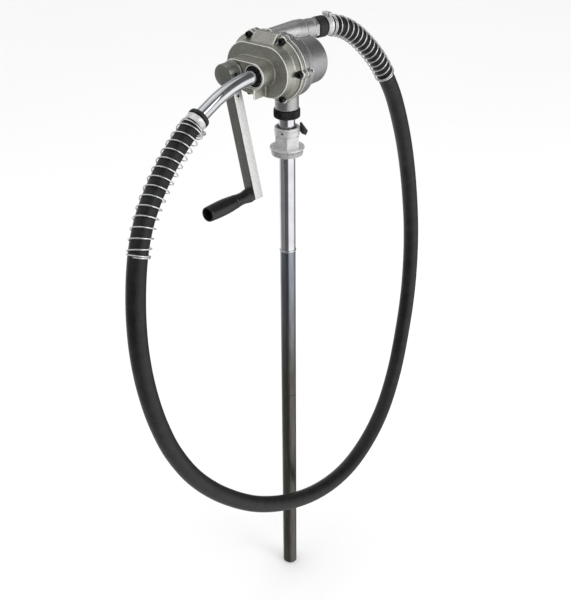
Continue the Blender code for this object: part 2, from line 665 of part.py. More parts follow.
def build_crank():
    axle = (CRANK_X, 0.0, AXIS_Z)
    hub = turned("crank_arm", [
        (0.0, ARM_BACK - HUB_FRONT), (HUB_R - 1.2 * MM, ARM_BACK - HUB_FRONT),
        (HUB_R, ARM_BACK - HUB_FRONT - 1.2 * MM), (HUB_R, 4.5 * MM), (HUB_R + 1.4 * MM, 3.6 * MM),
        (HUB_R + 1.4 * MM, 0.0), (0.0, 0.0),
    ], along((CRANK_X, ARM_BACK, AXIS_Z), (0, -1, 0)), ROUND)
    length = CRANK_LENGTH + 9 * MM
    depth = ARM_BACK - ARM_FRONT
    middle = crank_point(length / 2, (ARM_FRONT + ARM_BACK) / 2)
    tilt = Matrix.Rotation(-CRANK_TILT, 4, "Y") @ Matrix.Rotation(math.pi / 2, 4, "X")
    bar = box("bar", (ARM_WIDTH, length, depth), Matrix.Translation(middle) @ tilt)
    bar = rounded(bar, 1.0 * MM)
    grip_place = crank_point(CRANK_LENGTH, 0.0)
    shaft_hole = head_bore("hole", SHAFT_R + GAP, CRANK_X, -96.0 * MM, ARM_BACK + 3 * MM)
    spindle_hole = head_bore("hole", SPINDLE_R + GAP, grip_place.x, ARM_FRONT - 3 * MM, ARM_BACK + 3 * MM,
                             grip_place.z)
    across = Vector((math.cos(CRANK_TILT), 0.0, math.sin(CRANK_TILT)))
    low = crank_point(36 * MM, -86.5 * MM)
    arm_hole = rod("hole", 2.4 * MM, low + across * 2 * MM, low + across * 13 * MM, 12)
    hub_screw_axis = Vector((math.cos(HUB_SCREW_TURN), 0.0, math.sin(HUB_SCREW_TURN)))
    centre = Vector((CRANK_X, -90 * MM, AXIS_Z))
    hub_hole = rod("hole", 2.4 * MM, centre + hub_screw_axis * 5 * MM, centre + hub_screw_axis * 20 * MM, 12)
    finished(cut(join(hub, bar), shaft_hole, spindle_hole, arm_hole, hub_hole), ARM_METAL, axle)
    for name, place, direction, near, far in (
        ("arm_set_screw", low, across, 2.4 * MM, 8.8 * MM),
        ("hub_set_screw", centre, hub_screw_axis, SHAFT_R + GAP, 15.6 * MM),
    ):
        finished(rod(name, 2.0 * MM, place + direction * near, place + direction * far, 10), BLACK_STEEL)
    shaft = rod("crank_shaft", SHAFT_R, (CRANK_X, -8.0 * MM, AXIS_Z), (CRANK_X, -95.6 * MM, AXIS_Z), 24)
    slot = box("slot", (4.6 * MM, 3.6 * MM, 14.6 * MM), facing_front(CRANK_X, -31 * MM, AXIS_Z + 6.6 * MM))
    finished(cut(shaft, slot), STEEL, axle)
    key = box("gear_key", (4.0 * MM, 4.2 * MM, 13.6 * MM),
              facing_front(CRANK_X, -31 * MM, AXIS_Z + 7.4 * MM))
    finished(key, STEEL)


def build_grip():
    place = crank_point(CRANK_LENGTH, 0.0)
    x, z = place.x, place.z
    start = ARM_FRONT - 1.0 * MM
    length = start - GRIP_FRONT
    bore = SPINDLE_R + 0.25 * MM
    outer = [
        (12.2, 1.0), (11.6, 0.93), (10.2, 0.84), (10.0, 0.78), (10.6, 0.70), (11.6, 0.62),
        (10.9, 0.60), (11.9, 0.575), (12.8, 0.45), (13.1, 0.33), (12.9, 0.18), (12.3, 0.04), (11.6, 0.0),
    ]
    profile = [(r * MM, length * share) for r, share in outer]
    profile += [
        (GRIP_RECESS_R, 0.0), (GRIP_RECESS_R, GRIP_RECESS), (bore, GRIP_RECESS), (bore, length),
    ]
    grip = turned("crank_grip", profile, along((x, GRIP_FRONT, z), (0, 1, 0)), 18, ring=True)
    finished(grip, BLACK_PLASTIC, (x, start, z))
    seat = GRIP_FRONT + GRIP_RECESS - GAP
    spindle = rod("grip_spindle", SPINDLE_R, (x, ARM_BACK - 0.4 * MM, z), (x, seat - 0.1 * MM, z), 16)
    head = rod("head", 6.6 * MM, (x, seat, z), (x, seat - 4.0 * MM, z), 16)
    finished(join(spindle, head), STEEL)


# ---------------------------------------------------------------- spout, hose and what is on it

def spout_route():
    """Straight out of the holder, then one bend downwards and a short straight tail."""
    places = [Vector((SPOUT_X, SPOUT_TIP_Y, AXIS_Z))]
    centre = Vector((SPOUT_X, SPOUT_BEND_Y, AXIS_Z - SPOUT_BEND_R))
    steps = 7
    for k in range(steps + 1):
        a = SPOUT_DROP * k / steps
        places.append(centre + Vector((0.0, -math.sin(a), math.cos(a))) * SPOUT_BEND_R)
    tail = Vector((0.0, -math.cos(SPOUT_DROP), -math.sin(SPOUT_DROP)))
    places.append(places[-1] + tail * (SPOUT_TAIL - 1.0 * MM))
    return places


def build_spout():
    places = spout_route()
    spout = tube("spout_tube", places, SPOUT_R, 4)
    first, last = places[1] - places[0], places[-1] - places[-2]
    bore = tube("bore", [places[0] - first] + places[1:-1] + [places[-1] + last], SPOUT_R - 1.5 * MM, 2)
    finished(cut(spout, bore), CHROME)


def build_outlet_fitting():
    """Hexagon fitting screwed into the outlet port; the hose meets its end."""
    frame = along(outlet_point(0.0), OUTLET_DIR)
    nut = flat("outlet_fitting", [polygon(17.6 * MM, 6, math.radians(30)), circle((0, 0), 8.5 * MM, 20)],
               6.4 * MM, frame @ Matrix.Translation((0, 0, 106.5 * MM)))
    stem = sleeve("stem", 8.5 * MM, 10.7 * MM, outlet_point(70 * MM), outlet_point(106 * MM))
    finished(join(nut, stem), ZINC)


def hose_line():
    return smooth_path([[c * MM for c in place] for place in HOSE_ROUTE_MM], HOSE_STEP)


def build_hose():
    """Points lie closer together under the clamps and spring guards than in the open loop."""
    line = hose_line()
    last = len(line) - 1
    kept = []
    for k, place in enumerate(line):
        from_end = min(k, last - k)
        stride = 1 if from_end < 4 else 2 if from_end < 20 else 4
        if from_end % stride == 0:
            kept.append(place)
    finished(tube("delivery_hose", kept, HOSE_R, 3), RUBBER)


def frames_along(points):
    """A place, direction, up and side at each point of a path, without twist jumps."""
    out = []
    for k, place in enumerate(points):
        before, after = points[max(0, k - 1)], points[min(len(points) - 1, k + 1)]
        ahead = (after - before).normalized()
        side = ahead.cross(Vector((0, 0, 1)))
        side = side.normalized() if side.length > 0.05 else Vector((1, 0, 0))
        out.append((place, ahead, side.cross(ahead).normalized(), side))
    return out


def path_frame(path, distance):
    """Interpolated place and directions at a distance along a path."""
    run = 0.0
    for (a, fa, ua, sa), (b, fb, ub, sb) in zip(path, path[1:]):
        piece = (b - a).length
        if run + piece >= distance:
            t = (distance - run) / piece
            ahead, up, side = (p.lerp(q, t).normalized() for p, q in ((fa, fb), (ua, ub), (sa, sb)))
            return a.lerp(b, t), ahead, up, side
        run += piece
    return path[-1]


def spring_guard(name, path, start, length, turns, radius, wire, sag):
    """Wire coil round the hose: close turns at both ends, open between, hanging a little low."""
    per_turn = 8
    close = 1.6
    close_pitch = 2.2 * wire
    open_turns = turns - 2 * close
    open_length = length - 2 * close * close_pitch
    places = []
    for k in range(turns * per_turn + 1):
        turn = k / per_turn
        if turn < close:
            run = turn * close_pitch
        elif turn > turns - close:
            run = length - (turns - turn) * close_pitch
        else:
            run = close * close_pitch + open_length * (turn - close) / open_turns
        place, _, up, side = path_frame(path, start + run)
        a = 2 * math.pi * turn
        hang = Vector((0, 0, -sag))
        places.append(place + hang + (up * math.cos(a) + side * math.sin(a)) * radius)
    return finished(tube(name, places, wire, 0), ZINC)


def hose_clamp(name, place, ahead, up, width, inner):
    """Worm clamp: a thin band with its screw housing on one side."""
    band = sleeve(name, inner, inner + 1.2 * MM, place - ahead * width / 2, place + ahead * width / 2, 24)
    across = ahead.cross(up).normalized()
    frame = Matrix((across, ahead, up)).transposed().to_4x4()
    middle = place + up * (inner + 3.6 * MM)
    housing = box("housing", (14 * MM, width - 1 * MM, 6.0 * MM), Matrix.Translation(middle) @ frame)
    housing = rounded(housing, 0.9 * MM)
    bore = rod("bore", 2.6 * MM, middle - across * 12 * MM, middle + across * 12 * MM, 12)
    finished(cut(join(band, housing), bore), ZINC)
    screw = rod(name + "_screw", 2.3 * MM, middle - across * 8 * MM, middle + across * 6 * MM, 12)
    head = rod("head", 3.6 * MM, middle + across * 7.4 * MM, middle + across * 11.5 * MM, 6)
    neck = rod("neck", 2.0 * MM, middle + across * 5 * MM, middle + across * 9 * MM, 12)
    finished(join(screw, neck, head), STEEL)


def build_hose_fittings():
    path = frames_along(hose_line())
    back = frames_along(list(reversed(hose_line())))
    inner = HOSE_R + 0.5 * MM
    for name, line, cuff in (("outlet", path, 15.0), ("spout", back, 6.5)):
        ahead = line[0][1]
        start = line[0][0]
        finished(sleeve(f"{name}_hose_cuff", inner, inner + 2.0 * MM, start + ahead * 0.4 * MM,
                        start + ahead * cuff * MM, 20), RUBBER)
    place, ahead, up, _ = path_frame(path, 22.5 * MM)
    hose_clamp("outlet_hose_clamp", place, ahead, up, 11 * MM, inner)
    place, ahead, up, _ = path_frame(back, 14.0 * MM)
    hose_clamp("spout_hose_clamp", place, ahead, -up, 11 * MM, inner)
    spring_guard("outlet_spring_guard", path, 30 * MM, 190 * MM, 17, 17.9 * MM, 1.0 * MM, 0.3 * MM)
    spring_guard("spout_spring_guard", back, 21 * MM, 218 * MM, 17, 18.6 * MM, 1.0 * MM, 1.3 * MM)


def main():
    build_adapter()
    build_lever()
    build_tube()
    build_union()
    build_body()
    build_cover()
    build_cover_fittings()
    build_bearing_plate()
    build_gear_train()
    build_crank()
    build_grip()
    build_spout()
    build_outlet_fitting()
    build_hose()
    build_hose_fittings()


clear_scene()
PARTS = collection("drum_barrel_pump")
main()
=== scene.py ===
"""Looks of the hand crank drum barrel pump.

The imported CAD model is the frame.  Everything that shows is built again here with round
castings, real threads, knurls, coils and a wrapped hose; what is sealed inside keeps its
CAD mesh and gets a better finish.  Metres, +Z up, front cover towards -Y.
"""
import json
import math

import bmesh
import bpy
from mathutils import Matrix, Vector


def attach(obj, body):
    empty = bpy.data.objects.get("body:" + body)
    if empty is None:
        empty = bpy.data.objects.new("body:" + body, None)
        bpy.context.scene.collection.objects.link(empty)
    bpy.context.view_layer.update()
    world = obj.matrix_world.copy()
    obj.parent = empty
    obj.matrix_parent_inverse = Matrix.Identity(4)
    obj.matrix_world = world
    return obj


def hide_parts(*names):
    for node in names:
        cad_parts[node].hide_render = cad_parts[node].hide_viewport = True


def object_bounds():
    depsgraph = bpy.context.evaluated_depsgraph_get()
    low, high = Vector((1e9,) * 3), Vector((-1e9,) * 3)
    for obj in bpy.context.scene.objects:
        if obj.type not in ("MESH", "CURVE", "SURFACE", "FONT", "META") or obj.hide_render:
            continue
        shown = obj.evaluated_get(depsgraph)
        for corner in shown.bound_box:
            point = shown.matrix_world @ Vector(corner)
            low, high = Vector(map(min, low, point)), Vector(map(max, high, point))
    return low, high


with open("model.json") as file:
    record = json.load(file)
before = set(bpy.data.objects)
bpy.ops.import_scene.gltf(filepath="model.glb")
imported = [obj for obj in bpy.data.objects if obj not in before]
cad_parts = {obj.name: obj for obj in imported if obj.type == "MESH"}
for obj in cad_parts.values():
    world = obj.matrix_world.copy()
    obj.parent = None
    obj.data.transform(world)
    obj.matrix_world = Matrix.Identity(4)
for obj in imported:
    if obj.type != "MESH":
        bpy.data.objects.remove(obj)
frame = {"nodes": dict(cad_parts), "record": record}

CAD_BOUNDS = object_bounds()
RECORD = frame["record"]
BODY_OF = {node: body for body, nodes in RECORD["behaviour"]["bodies"].items() for node in nodes}
SLOT_OF = {part["node"]: part["material_slot"] for part in RECORD["subparts"]}

MM = 0.001
ROUND = 96
SMALL = 32


def mm(*lengths):
    """Millimetres as metres."""
    return tuple(length * MM for length in lengths)


# Sizes shared with the CAD model
TUBE_R = 13.5 * MM
TUBE_JOINTS = mm(-188.0, -490.0)
BOSS_R = 19.6 * MM
AXIS_Z = 138.0 * MM
CRANK_X = -45.0 * MM
SPOUT_X = -4.0 * MM
DRUM_X = 4.0 * MM
DRUM_R = 39.0 * MM
DRUM_BACK = 54.0 * MM
HEAD_R = 51.0 * MM
BOLT_R = 48.0 * MM
LOBE_R = 7.0 * MM
FLANGE_FRONT = -23.0 * MM
COVER_BACK = -15.6 * MM
BODY_FRONT = -14.0 * MM
BODY_BACK = 8.0 * MM
FACE_Y = -47.0 * MM
SHOULDER_Y = -28.5 * MM
SHOULDER_R = 50.2 * MM
WALL_R = 43.5 * MM
FACE_R = 41.0 * MM
HOLDER_Y = -76.0 * MM
DRIVER_X = -10.0 * MM
IDLER_X = 18.0 * MM
SCREW_PLACES = (
    (0.0, 0.0), (0.0, 76.0), (0.0, -76.0), (CRANK_X, 104.0), (CRANK_X, 180.0), (CRANK_X, -104.0),
)
OUTLET_START = Vector(mm(-33.0, -30.0, 182.5))
OUTLET_TURN = math.radians(15.4)
OUTLET_DIR = Vector((math.sin(OUTLET_TURN), math.cos(OUTLET_TURN), 0.0))
CRANK_LENGTH = 195.5 * MM
CRANK_TILT = math.radians(13.6)
ARM_WIDTH = 20.0 * MM
ARM_FRONT = -96.0 * MM
ARM_BACK = -76.8 * MM
HUB_R = 17.8 * MM
HUB_LENGTH = 24.7 * MM
SHAFT_R = 7.0 * MM
SPINDLE_R = 4.0 * MM
GRIP_FRONT = -196.0 * MM
GRIP_RECESS = 20.0 * MM
HUB_SCREW_TURN = math.radians(8)
SPOUT_R = 11.0 * MM
SPOUT_TIP_Y = -56.0 * MM
SPOUT_BEND_Y = -80.0 * MM
SPOUT_BEND_R = 220.0 * MM
SPOUT_DROP = math.radians(24.5)
SPOUT_TAIL = 28.0 * MM
LEVER_TURN = math.radians(48)
LEVER_Z = 31.0 * MM
SET_SCREW_TURN = math.radians(-73)

# The delivery hose: the same route as its CAD solid
HOSE_R = 15.0 * MM
WRAP_PITCH = 0.052
WEAVE_PITCH = 0.094
WEAVE_THREADS = 34
HOSE_ROUTE = (
    (-0.0036, 0.0771, 0.1825), (0.004, 0.1045, 0.1825), (0.009, 0.131, 0.1755), (0.012, 0.164, 0.157),
    (0.015, 0.200, 0.127), (0.017, 0.234, 0.091), (0.018, 0.262, 0.051), (0.0165, 0.288, 0.010),
    (0.012, 0.323, -0.058), (0.006, 0.354, -0.129), (0.002, 0.378, -0.208), (-0.002, 0.397, -0.291),
    (-0.004, 0.405, -0.372), (-0.004, 0.402, -0.452), (-0.001, 0.385, -0.530), (0.007, 0.350, -0.612),
    (0.020, 0.293, -0.675), (0.033, 0.220, -0.713), (0.045, 0.133, -0.729), (0.053, 0.038, -0.719),
    (0.055, -0.058, -0.687), (0.050, -0.150, -0.637), (0.042, -0.228, -0.571), (0.036, -0.289, -0.498),
    (0.034, -0.333, -0.420), (0.036, -0.363, -0.343), (0.038, -0.382, -0.269), (0.039, -0.391, -0.203),
    (0.038, -0.391, -0.145), (0.035, -0.384, -0.094), (0.029, -0.370, -0.049), (0.022, -0.351, -0.014),
    (0.015, -0.328, 0.013), (0.009, -0.303, 0.036), (0.004, -0.276, 0.058), (0.000, -0.249, 0.0768),
    (-0.003, -0.221, 0.0940), (-0.004, -0.1967, 0.1066),
)

# The photograph's camera
CAMERA_PLACE = (1.0421, -1.2495, 0.6268)
CAMERA_RIGHT = Vector((0.76871, 0.63956, -0.00743))
CAMERA_UP = Vector((-0.30912, 0.38166, 0.87108))
CAMERA_LENS = 62.4


# ---------------------------------------------------------------- camera

def build_camera():
    data = bpy.data.cameras.new("camera")
    data.lens = CAMERA_LENS
    data.sensor_width = 36.0
    camera = bpy.data.objects.new("camera", data)
    bpy.context.scene.collection.objects.link(camera)
    back = CAMERA_RIGHT.cross(CAMERA_UP)
    turn = Matrix((CAMERA_RIGHT, CAMERA_UP, back)).transposed().to_4x4()
    camera.matrix_world = Matrix.Translation(CAMERA_PLACE) @ turn
    bpy.context.scene.camera = camera


# ---------------------------------------------------------------- mesh tools

def add_object(name, data, matrix=None):
    made = bpy.data.objects.new(name, data)
    bpy.context.scene.collection.objects.link(made)
    made.matrix_world = matrix or Matrix.Identity(4)
    return made


def baked(item):
    """The object with its curve or modifiers turned into one welded mesh at the origin."""
    bpy.context.view_layer.update()
    evaluated = item.evaluated_get(bpy.context.evaluated_depsgraph_get())
    mesh = bpy.data.meshes.new_from_object(evaluated)
    mesh.transform(item.matrix_world)
    name = item.name
    bpy.data.objects.remove(item, do_unlink=True)
    cage = bmesh.new()
    cage.from_mesh(mesh)
    bmesh.ops.remove_doubles(cage, verts=cage.verts, dist=2e-6)
    bmesh.ops.dissolve_degenerate(cage, edges=cage.edges, dist=1e-6)
    bmesh.ops.recalc_face_normals(cage, faces=cage.faces)
    cage.to_mesh(mesh)
    cage.free()
    mesh.name = name
    return add_object(name, mesh)


def along(start, direction):
    """Matrix that puts local Z along a direction, with its origin at start."""
    axis = Vector(direction).normalized()
    side = Vector((0.0, 0.0, 1.0)) if abs(axis.z) < 0.9 else Vector((0.0, 1.0, 0.0))
    x_axis = side.cross(axis).normalized()
    y_axis = axis.cross(x_axis)
    basis = Matrix((x_axis, y_axis, axis)).transposed().to_4x4()
    return Matrix.Translation(Vector(start)) @ basis


def facing_front(x, y, z):
    return Matrix.Translation((x, y, z)) @ Matrix.Rotation(math.pi / 2, 4, "X")


def turned(name, profile, matrix=None, sides=ROUND, ring=False):
    """Turn a profile of (radius, height) points, listed down its outer side, about local Z."""
    mesh = bpy.data.meshes.new(name)
    edges = [(i, i + 1) for i in range(len(profile) - 1)]
    if ring:
        edges.append((len(profile) - 1, 0))
    mesh.from_pydata([(r, 0.0, h) for r, h in profile], edges, [])
    item = add_object(name, mesh, matrix)
    screw = item.modifiers.new("turn", "SCREW")
    screw.steps = sides
    screw.render_steps = sides
    screw.use_merge_vertices = True
    screw.merge_threshold = 0.00001
    return baked(item)


def rod(name, radius, start, end, sides=SMALL, edge=0.0):
    start, end = Vector(start), Vector(end)
    length = (end - start).length
    profile = [(0.0, length), (radius - edge, length), (radius, length - edge), (radius, edge),
               (radius - edge, 0.0), (0.0, 0.0)]
    if not edge:
        profile = [(0.0, length), (radius, length), (radius, 0.0), (0.0, 0.0)]
    return turned(name, profile, along(start, end - start), sides)


def sleeve(name, inner, outer, start, end, sides=ROUND, edge=0.3 * MM):
    start, end = Vector(start), Vector(end)
    length = (end - start).length
    profile = [(outer - edge, length), (outer, length - edge), (outer, edge), (outer - edge, 0.0),
               (inner + edge, 0.0), (inner, edge), (inner, length - edge), (inner + edge, length)]
    return turned(name, profile, along(start, end - start), sides, ring=True)


def flat(name, outlines, thickness, matrix):
    """Solid of a flat outline, centred on local Z; later outlines are holes."""
    curve = bpy.data.curves.new(name, "CURVE")
    curve.dimensions = "2D"
    curve.fill_mode = "BOTH"
    curve.extrude = thickness / 2
    for outline in outlines:
        spline = curve.splines.new("POLY")
        spline.points.add(len(outline) - 1)
        for point, (x, y) in zip(spline.points, outline):
            point.co = (x, y, 0.0, 1.0)
        spline.use_cyclic_u = True
    return baked(add_object(name, curve, matrix))


def box(name, size, matrix):
    x, y = size[0] / 2, size[1] / 2
    return flat(name, [[(-x, -y), (x, -y), (x, y), (-x, y)]], size[2], matrix)


def block(name, size, place):
    return box(name, size, Matrix.Translation(place))


def combine(target, others, how):
    for other in others:
        step = target.modifiers.new(how.lower(), "BOOLEAN")
        step.operation = how
        step.solver = "EXACT"
        step.object = other
        target = baked(target)
        bpy.data.objects.remove(other, do_unlink=True)
    return target


def cut(target, *others):
    return combine(target, others, "DIFFERENCE")


def join(target, *others):
    return combine(target, others, "UNION")


def keep_inside(target, other):
    return combine(target, [other], "INTERSECT")


def rounded(item, width, segments=3, angle=35.0):
    bevel = item.modifiers.new("edges", "BEVEL")
    bevel.width = width
    bevel.segments = segments
    bevel.limit_method = "ANGLE"
    bevel.angle_limit = math.radians(angle)
    return baked(item)


def cast(item, grain=0.9 * MM, passes=4):
    """Sand-cast form: the solid is remeshed finely and its edges and corners melt a little."""
    remesh = item.modifiers.new("cast", "REMESH")
    remesh.mode = "VOXEL"
    remesh.voxel_size = grain
    item = baked(item)
    soft = item.modifiers.new("soft", "SMOOTH")
    soft.factor = 0.5
    soft.iterations = passes
    item = baked(item)
    mark_edges(item.data)
    return item


def mark_edges(mesh):
    """Store in the attribute edge how strongly each point stands proud of its neighbours."""
    cage = bmesh.new()
    cage.from_mesh(mesh)
    cage.verts.ensure_lookup_table()
    proud = []
    for vertex in cage.verts:
        others = [e.other_vert(vertex).co for e in vertex.link_edges]
        middle = sum(others, Vector()) / max(1, len(others))
        reach = max(1e-6, sum((o - vertex.co).length for o in others) / max(1, len(others)))
        proud.append((vertex.co - middle).dot(vertex.normal) / reach)
    softer = []
    for vertex in cage.verts:
        near = [proud[e.other_vert(vertex).index] for e in vertex.link_edges]
        softer.append(0.5 * proud[vertex.index] + 0.5 * sum(near) / max(1, len(near)))
    cage.free()
    attribute = mesh.attributes.new("edge", "FLOAT", "POINT")
    attribute.data.foreach_set("value", softer)


# ---------------------------------------------------------------- outlines

def arc(centre, radius, start, end, count):
    out = []
    for k in range(count + 1):
        a = math.radians(start + (end - start) * k / count)
        out.append((centre[0] + radius * math.cos(a), centre[1] + radius * math.sin(a)))
    return out


def circle(centre, radius, sides=SMALL):
    return arc(centre, radius, 0.0, 360.0, sides)[:-1]


def stadium(left, right, radius, count=48):
    return (arc((right, 0.0), radius, -90.0, 90.0, count)
            + arc((left, 0.0), radius, 90.0, 270.0, count))


def polygon(corner_radius, sides, turn):
    return [(corner_radius * math.cos(turn + 2 * math.pi * k / sides),
             corner_radius * math.sin(turn + 2 * math.pi * k / sides)) for k in range(sides)]


def screw_points():
    for x, angle in SCREW_PLACES:
        a = math.radians(angle)
        yield x + BOLT_R * math.cos(a), BOLT_R * math.sin(a)


def flange_outline(inset=0.0, count=140):
    """Stadium whose edge swells into a lobe round each cover screw."""
    out = []
    lobe = LOBE_R - inset
    for axis_x, turn in ((0.0, -90.0), (CRANK_X, 90.0)):
        for k in range(count + 1):
            a = math.radians(turn + 180.0 * k / count)
            reach = HEAD_R - inset
            for x, z in screw_points():
                near = (x - axis_x) * math.cos(a) + z * math.sin(a)
                off = -(x - axis_x) * math.sin(a) + z * math.cos(a)
                if near > 0 and abs(off) < lobe and abs(x - axis_x) <= BOLT_R + 0.3 * MM:
                    reach = max(reach, near + math.sqrt(lobe ** 2 - off ** 2))
            out.append((axis_x + reach * math.cos(a), reach * math.sin(a)))
    return out


def head_plate(name, outlines, front, back, x=0.0):
    return flat(name, outlines, back - front, facing_front(x, (front + back) / 2, AXIS_Z))


def head_bore(name, radius, x, front, back, z=AXIS_Z, sides=SMALL):
    return rod(name, radius, (x, back, z), (x, front, z), sides)


def tapered_plate(name, wide, narrow, front, back):
    """Stadium block that narrows towards the front."""
    item = head_plate(name, [stadium(CRANK_X, 0.0, wide)], front, back)
    for vertex in item.data.vertices:
        if vertex.co.y < (front + back) / 2:
            near = min(max(vertex.co.x, CRANK_X), 0.0)
            vertex.co.x = near + (vertex.co.x - near) * narrow / wide
            vertex.co.z = AXIS_Z + (vertex.co.z - AXIS_Z) * narrow / wide
    return item


# ---------------------------------------------------------------- paths

def smooth_path(route, step):
    """Points about step apart on a smooth curve through the route, both ends kept."""
    points = [Vector(p) for p in route]
    knots = [2 * points[0] - points[1]] + points + [2 * points[-1] - points[-2]]
    fine = []
    for a, b, c, d in zip(knots, knots[1:], knots[2:], knots[3:]):
        for k in range(16):
            t = k / 16
            fine.append(0.5 * (2 * b + (c - a) * t + (2 * a - 5 * b + 4 * c - d) * t ** 2
                               + (3 * b - a - 3 * c + d) * t ** 3))
    fine.append(points[-1])
    lengths = [0.0]
    for a, b in zip(fine, fine[1:]):
        lengths.append(lengths[-1] + (b - a).length)
    count = max(1, round(lengths[-1] / step))
    out, seat = [], 0
    for k in range(count + 1):
        goal = lengths[-1] * k / count
        while seat < len(fine) - 2 and lengths[seat + 1] < goal:
            seat += 1
        share = (goal - lengths[seat]) / (lengths[seat + 1] - lengths[seat])
        out.append(fine[seat].lerp(fine[seat + 1], min(1.0, share)))
    return out


def frames_along(points):
    """A place, direction, up and side at each point of a path, carried along without twist."""
    out = []
    up = Vector((0.0, 0.0, 1.0))
    for k, place in enumerate(points):
        before, after = points[max(0, k - 1)], points[min(len(points) - 1, k + 1)]
        ahead = (after - before).normalized()
        up = (up - ahead * up.dot(ahead)).normalized()
        out.append((place, ahead, up, ahead.cross(up).normalized()))
    return out


def level_frames(points):
    """Like frames_along, but up stays as near the vertical as it can."""
    out = []
    for place, ahead, _, _ in frames_along(points):
        side = ahead.cross(Vector((0, 0, 1))).normalized()
        out.append((place, ahead, side.cross(ahead).normalized(), side))
    return out


def path_frame(path, distance):
    run = 0.0
    for (a, fa, ua, sa), (b, fb, ub, sb) in zip(path, path[1:]):
        piece = (b - a).length
        if run + piece >= distance:
            t = (distance - run) / piece
            ahead, up, side = (p.lerp(q, t).normalized() for p, q in ((fa, fb), (ua, ub), (sa, sb)))
            return a.lerp(b, t), ahead, up, side
        run += piece
    return path[-1]


def swept(name, points, radii, sides, capped=True):
    """Tube mesh along a path, with a radius for each point; its UV map runs round and along it."""
    path = frames_along(points)
    cage = bmesh.new()
    layer = cage.loops.layers.uv.new("wrap")
    rings = []
    runs = [0.0]
    for a, b in zip(points, points[1:]):
        runs.append(runs[-1] + (b - a).length)
    for (place, _, up, side), radius in zip(path, radii):
        ring = []
        for k in range(sides):
            a = 2 * math.pi * k / sides
            ring.append(cage.verts.new(place + (up * math.cos(a) + side * math.sin(a)) * radius))
        rings.append(ring)
    for row, (low, high) in enumerate(zip(rings, rings[1:])):
        for k in range(sides):
            after = (k + 1) % sides
            face = cage.faces.new((low[k], low[after], high[after], high[k]))
            corners = ((k, row), (k + 1, row), (k + 1, row + 1), (k, row + 1))
            for loop, (turn, along_row) in zip(face.loops, corners):
                loop[layer].uv = (turn / sides, runs[along_row])
    if capped:
        cage.faces.new(rings[0])
        cage.faces.new(rings[-1])
    bmesh.ops.recalc_face_normals(cage, faces=cage.faces)
    mesh = bpy.data.meshes.new(name)
    cage.to_mesh(mesh)
    cage.free()
    return add_object(name, mesh)


# ---------------------------------------------------------------- materials

def start_material(name, colour, roughness, metallic):
    made = bpy.data.materials.new(name)
    made.use_nodes = True
    tree = made.node_tree
    shader = tree.nodes["Principled BSDF"]
    shader.inputs["Base Color"].default_value = (*colour, 1.0)
    shader.inputs["Roughness"].default_value = roughness
    shader.inputs["Metallic"].default_value = metallic
    return made, tree, shader


def add_node(tree, kind, settings=None, inputs=None):
    made = tree.nodes.new(kind)
    for key, value in (settings or {}).items():
        setattr(made, key, value)
    for key, value in (inputs or {}).items():
        if isinstance(value, bpy.types.NodeSocket):
            tree.links.new(value, made.inputs[key])
        else:
            made.inputs[key].default_value = value
    return made


def object_place(tree, stretch=(1.0, 1.0, 1.0)):
    place = add_node(tree, "ShaderNodeTexCoord")
    return add_node(tree, "ShaderNodeMapping", inputs={
        "Vector": place.outputs["Object"], "Scale": stretch}).outputs["Vector"]


def noise(tree, vector, scale, detail=3.0, rough=0.55):
    return add_node(tree, "ShaderNodeTexNoise", inputs={
        "Vector": vector, "Scale": scale, "Detail": detail, "Roughness": rough}).outputs["Fac"]


def ramp(tree, value, low, high, bottom=0.0, top=1.0):
    """The value's stretch from low to high, spread over bottom to top."""
    return add_node(tree, "ShaderNodeMapRange", {"clamp": True}, {
        "Value": value, "From Min": low, "From Max": high, "To Min": bottom, "To Max": top}).outputs["Result"]


def mixed(tree, share, first, second):
    """Colour between two colours or colour sockets."""
    made = tree.nodes.new("ShaderNodeMix")
    made.data_type = "RGBA"
    for socket, value in ((made.inputs[0], share), (made.inputs[6], first), (made.inputs[7], second)):
        if isinstance(value, bpy.types.NodeSocket):
            tree.links.new(value, socket)
        elif isinstance(value, float):
            socket.default_value = value
        else:
            socket.default_value = (*value, 1.0)
    return made.outputs[2]


def maths(tree, how, first, second=0.0):
    made = add_node(tree, "ShaderNodeMath", {"operation": how})
    for socket, value in zip(made.inputs, (first, second)):
        if isinstance(value, bpy.types.NodeSocket):
            tree.links.new(value, socket)
        else:
            socket.default_value = value
    return made.outputs[0]


def bumped(tree, shader, height, strength, depth):
    bump = add_node(tree, "ShaderNodeBump", inputs={
        "Height": height, "Strength": strength, "Distance": depth})
    tree.links.new(bump.outputs["Normal"], shader.inputs["Normal"])


def link(tree, shader, name, socket):
    tree.links.new(socket, shader.inputs[name])


def tinted(tree, shader, value, low, high, dark, light):
    """Base colour that goes from dark to light as the value goes from low to high."""
    link(tree, shader, "Base Color", mixed(tree, ramp(tree, value, low, high), dark, light))


def glossed(tree, shader, value, low, high, smooth, rough):
    """Roughness that goes from smooth to rough as the value goes from low to high."""
    link(tree, shader, "Roughness", ramp(tree, value, low, high, smooth, rough))


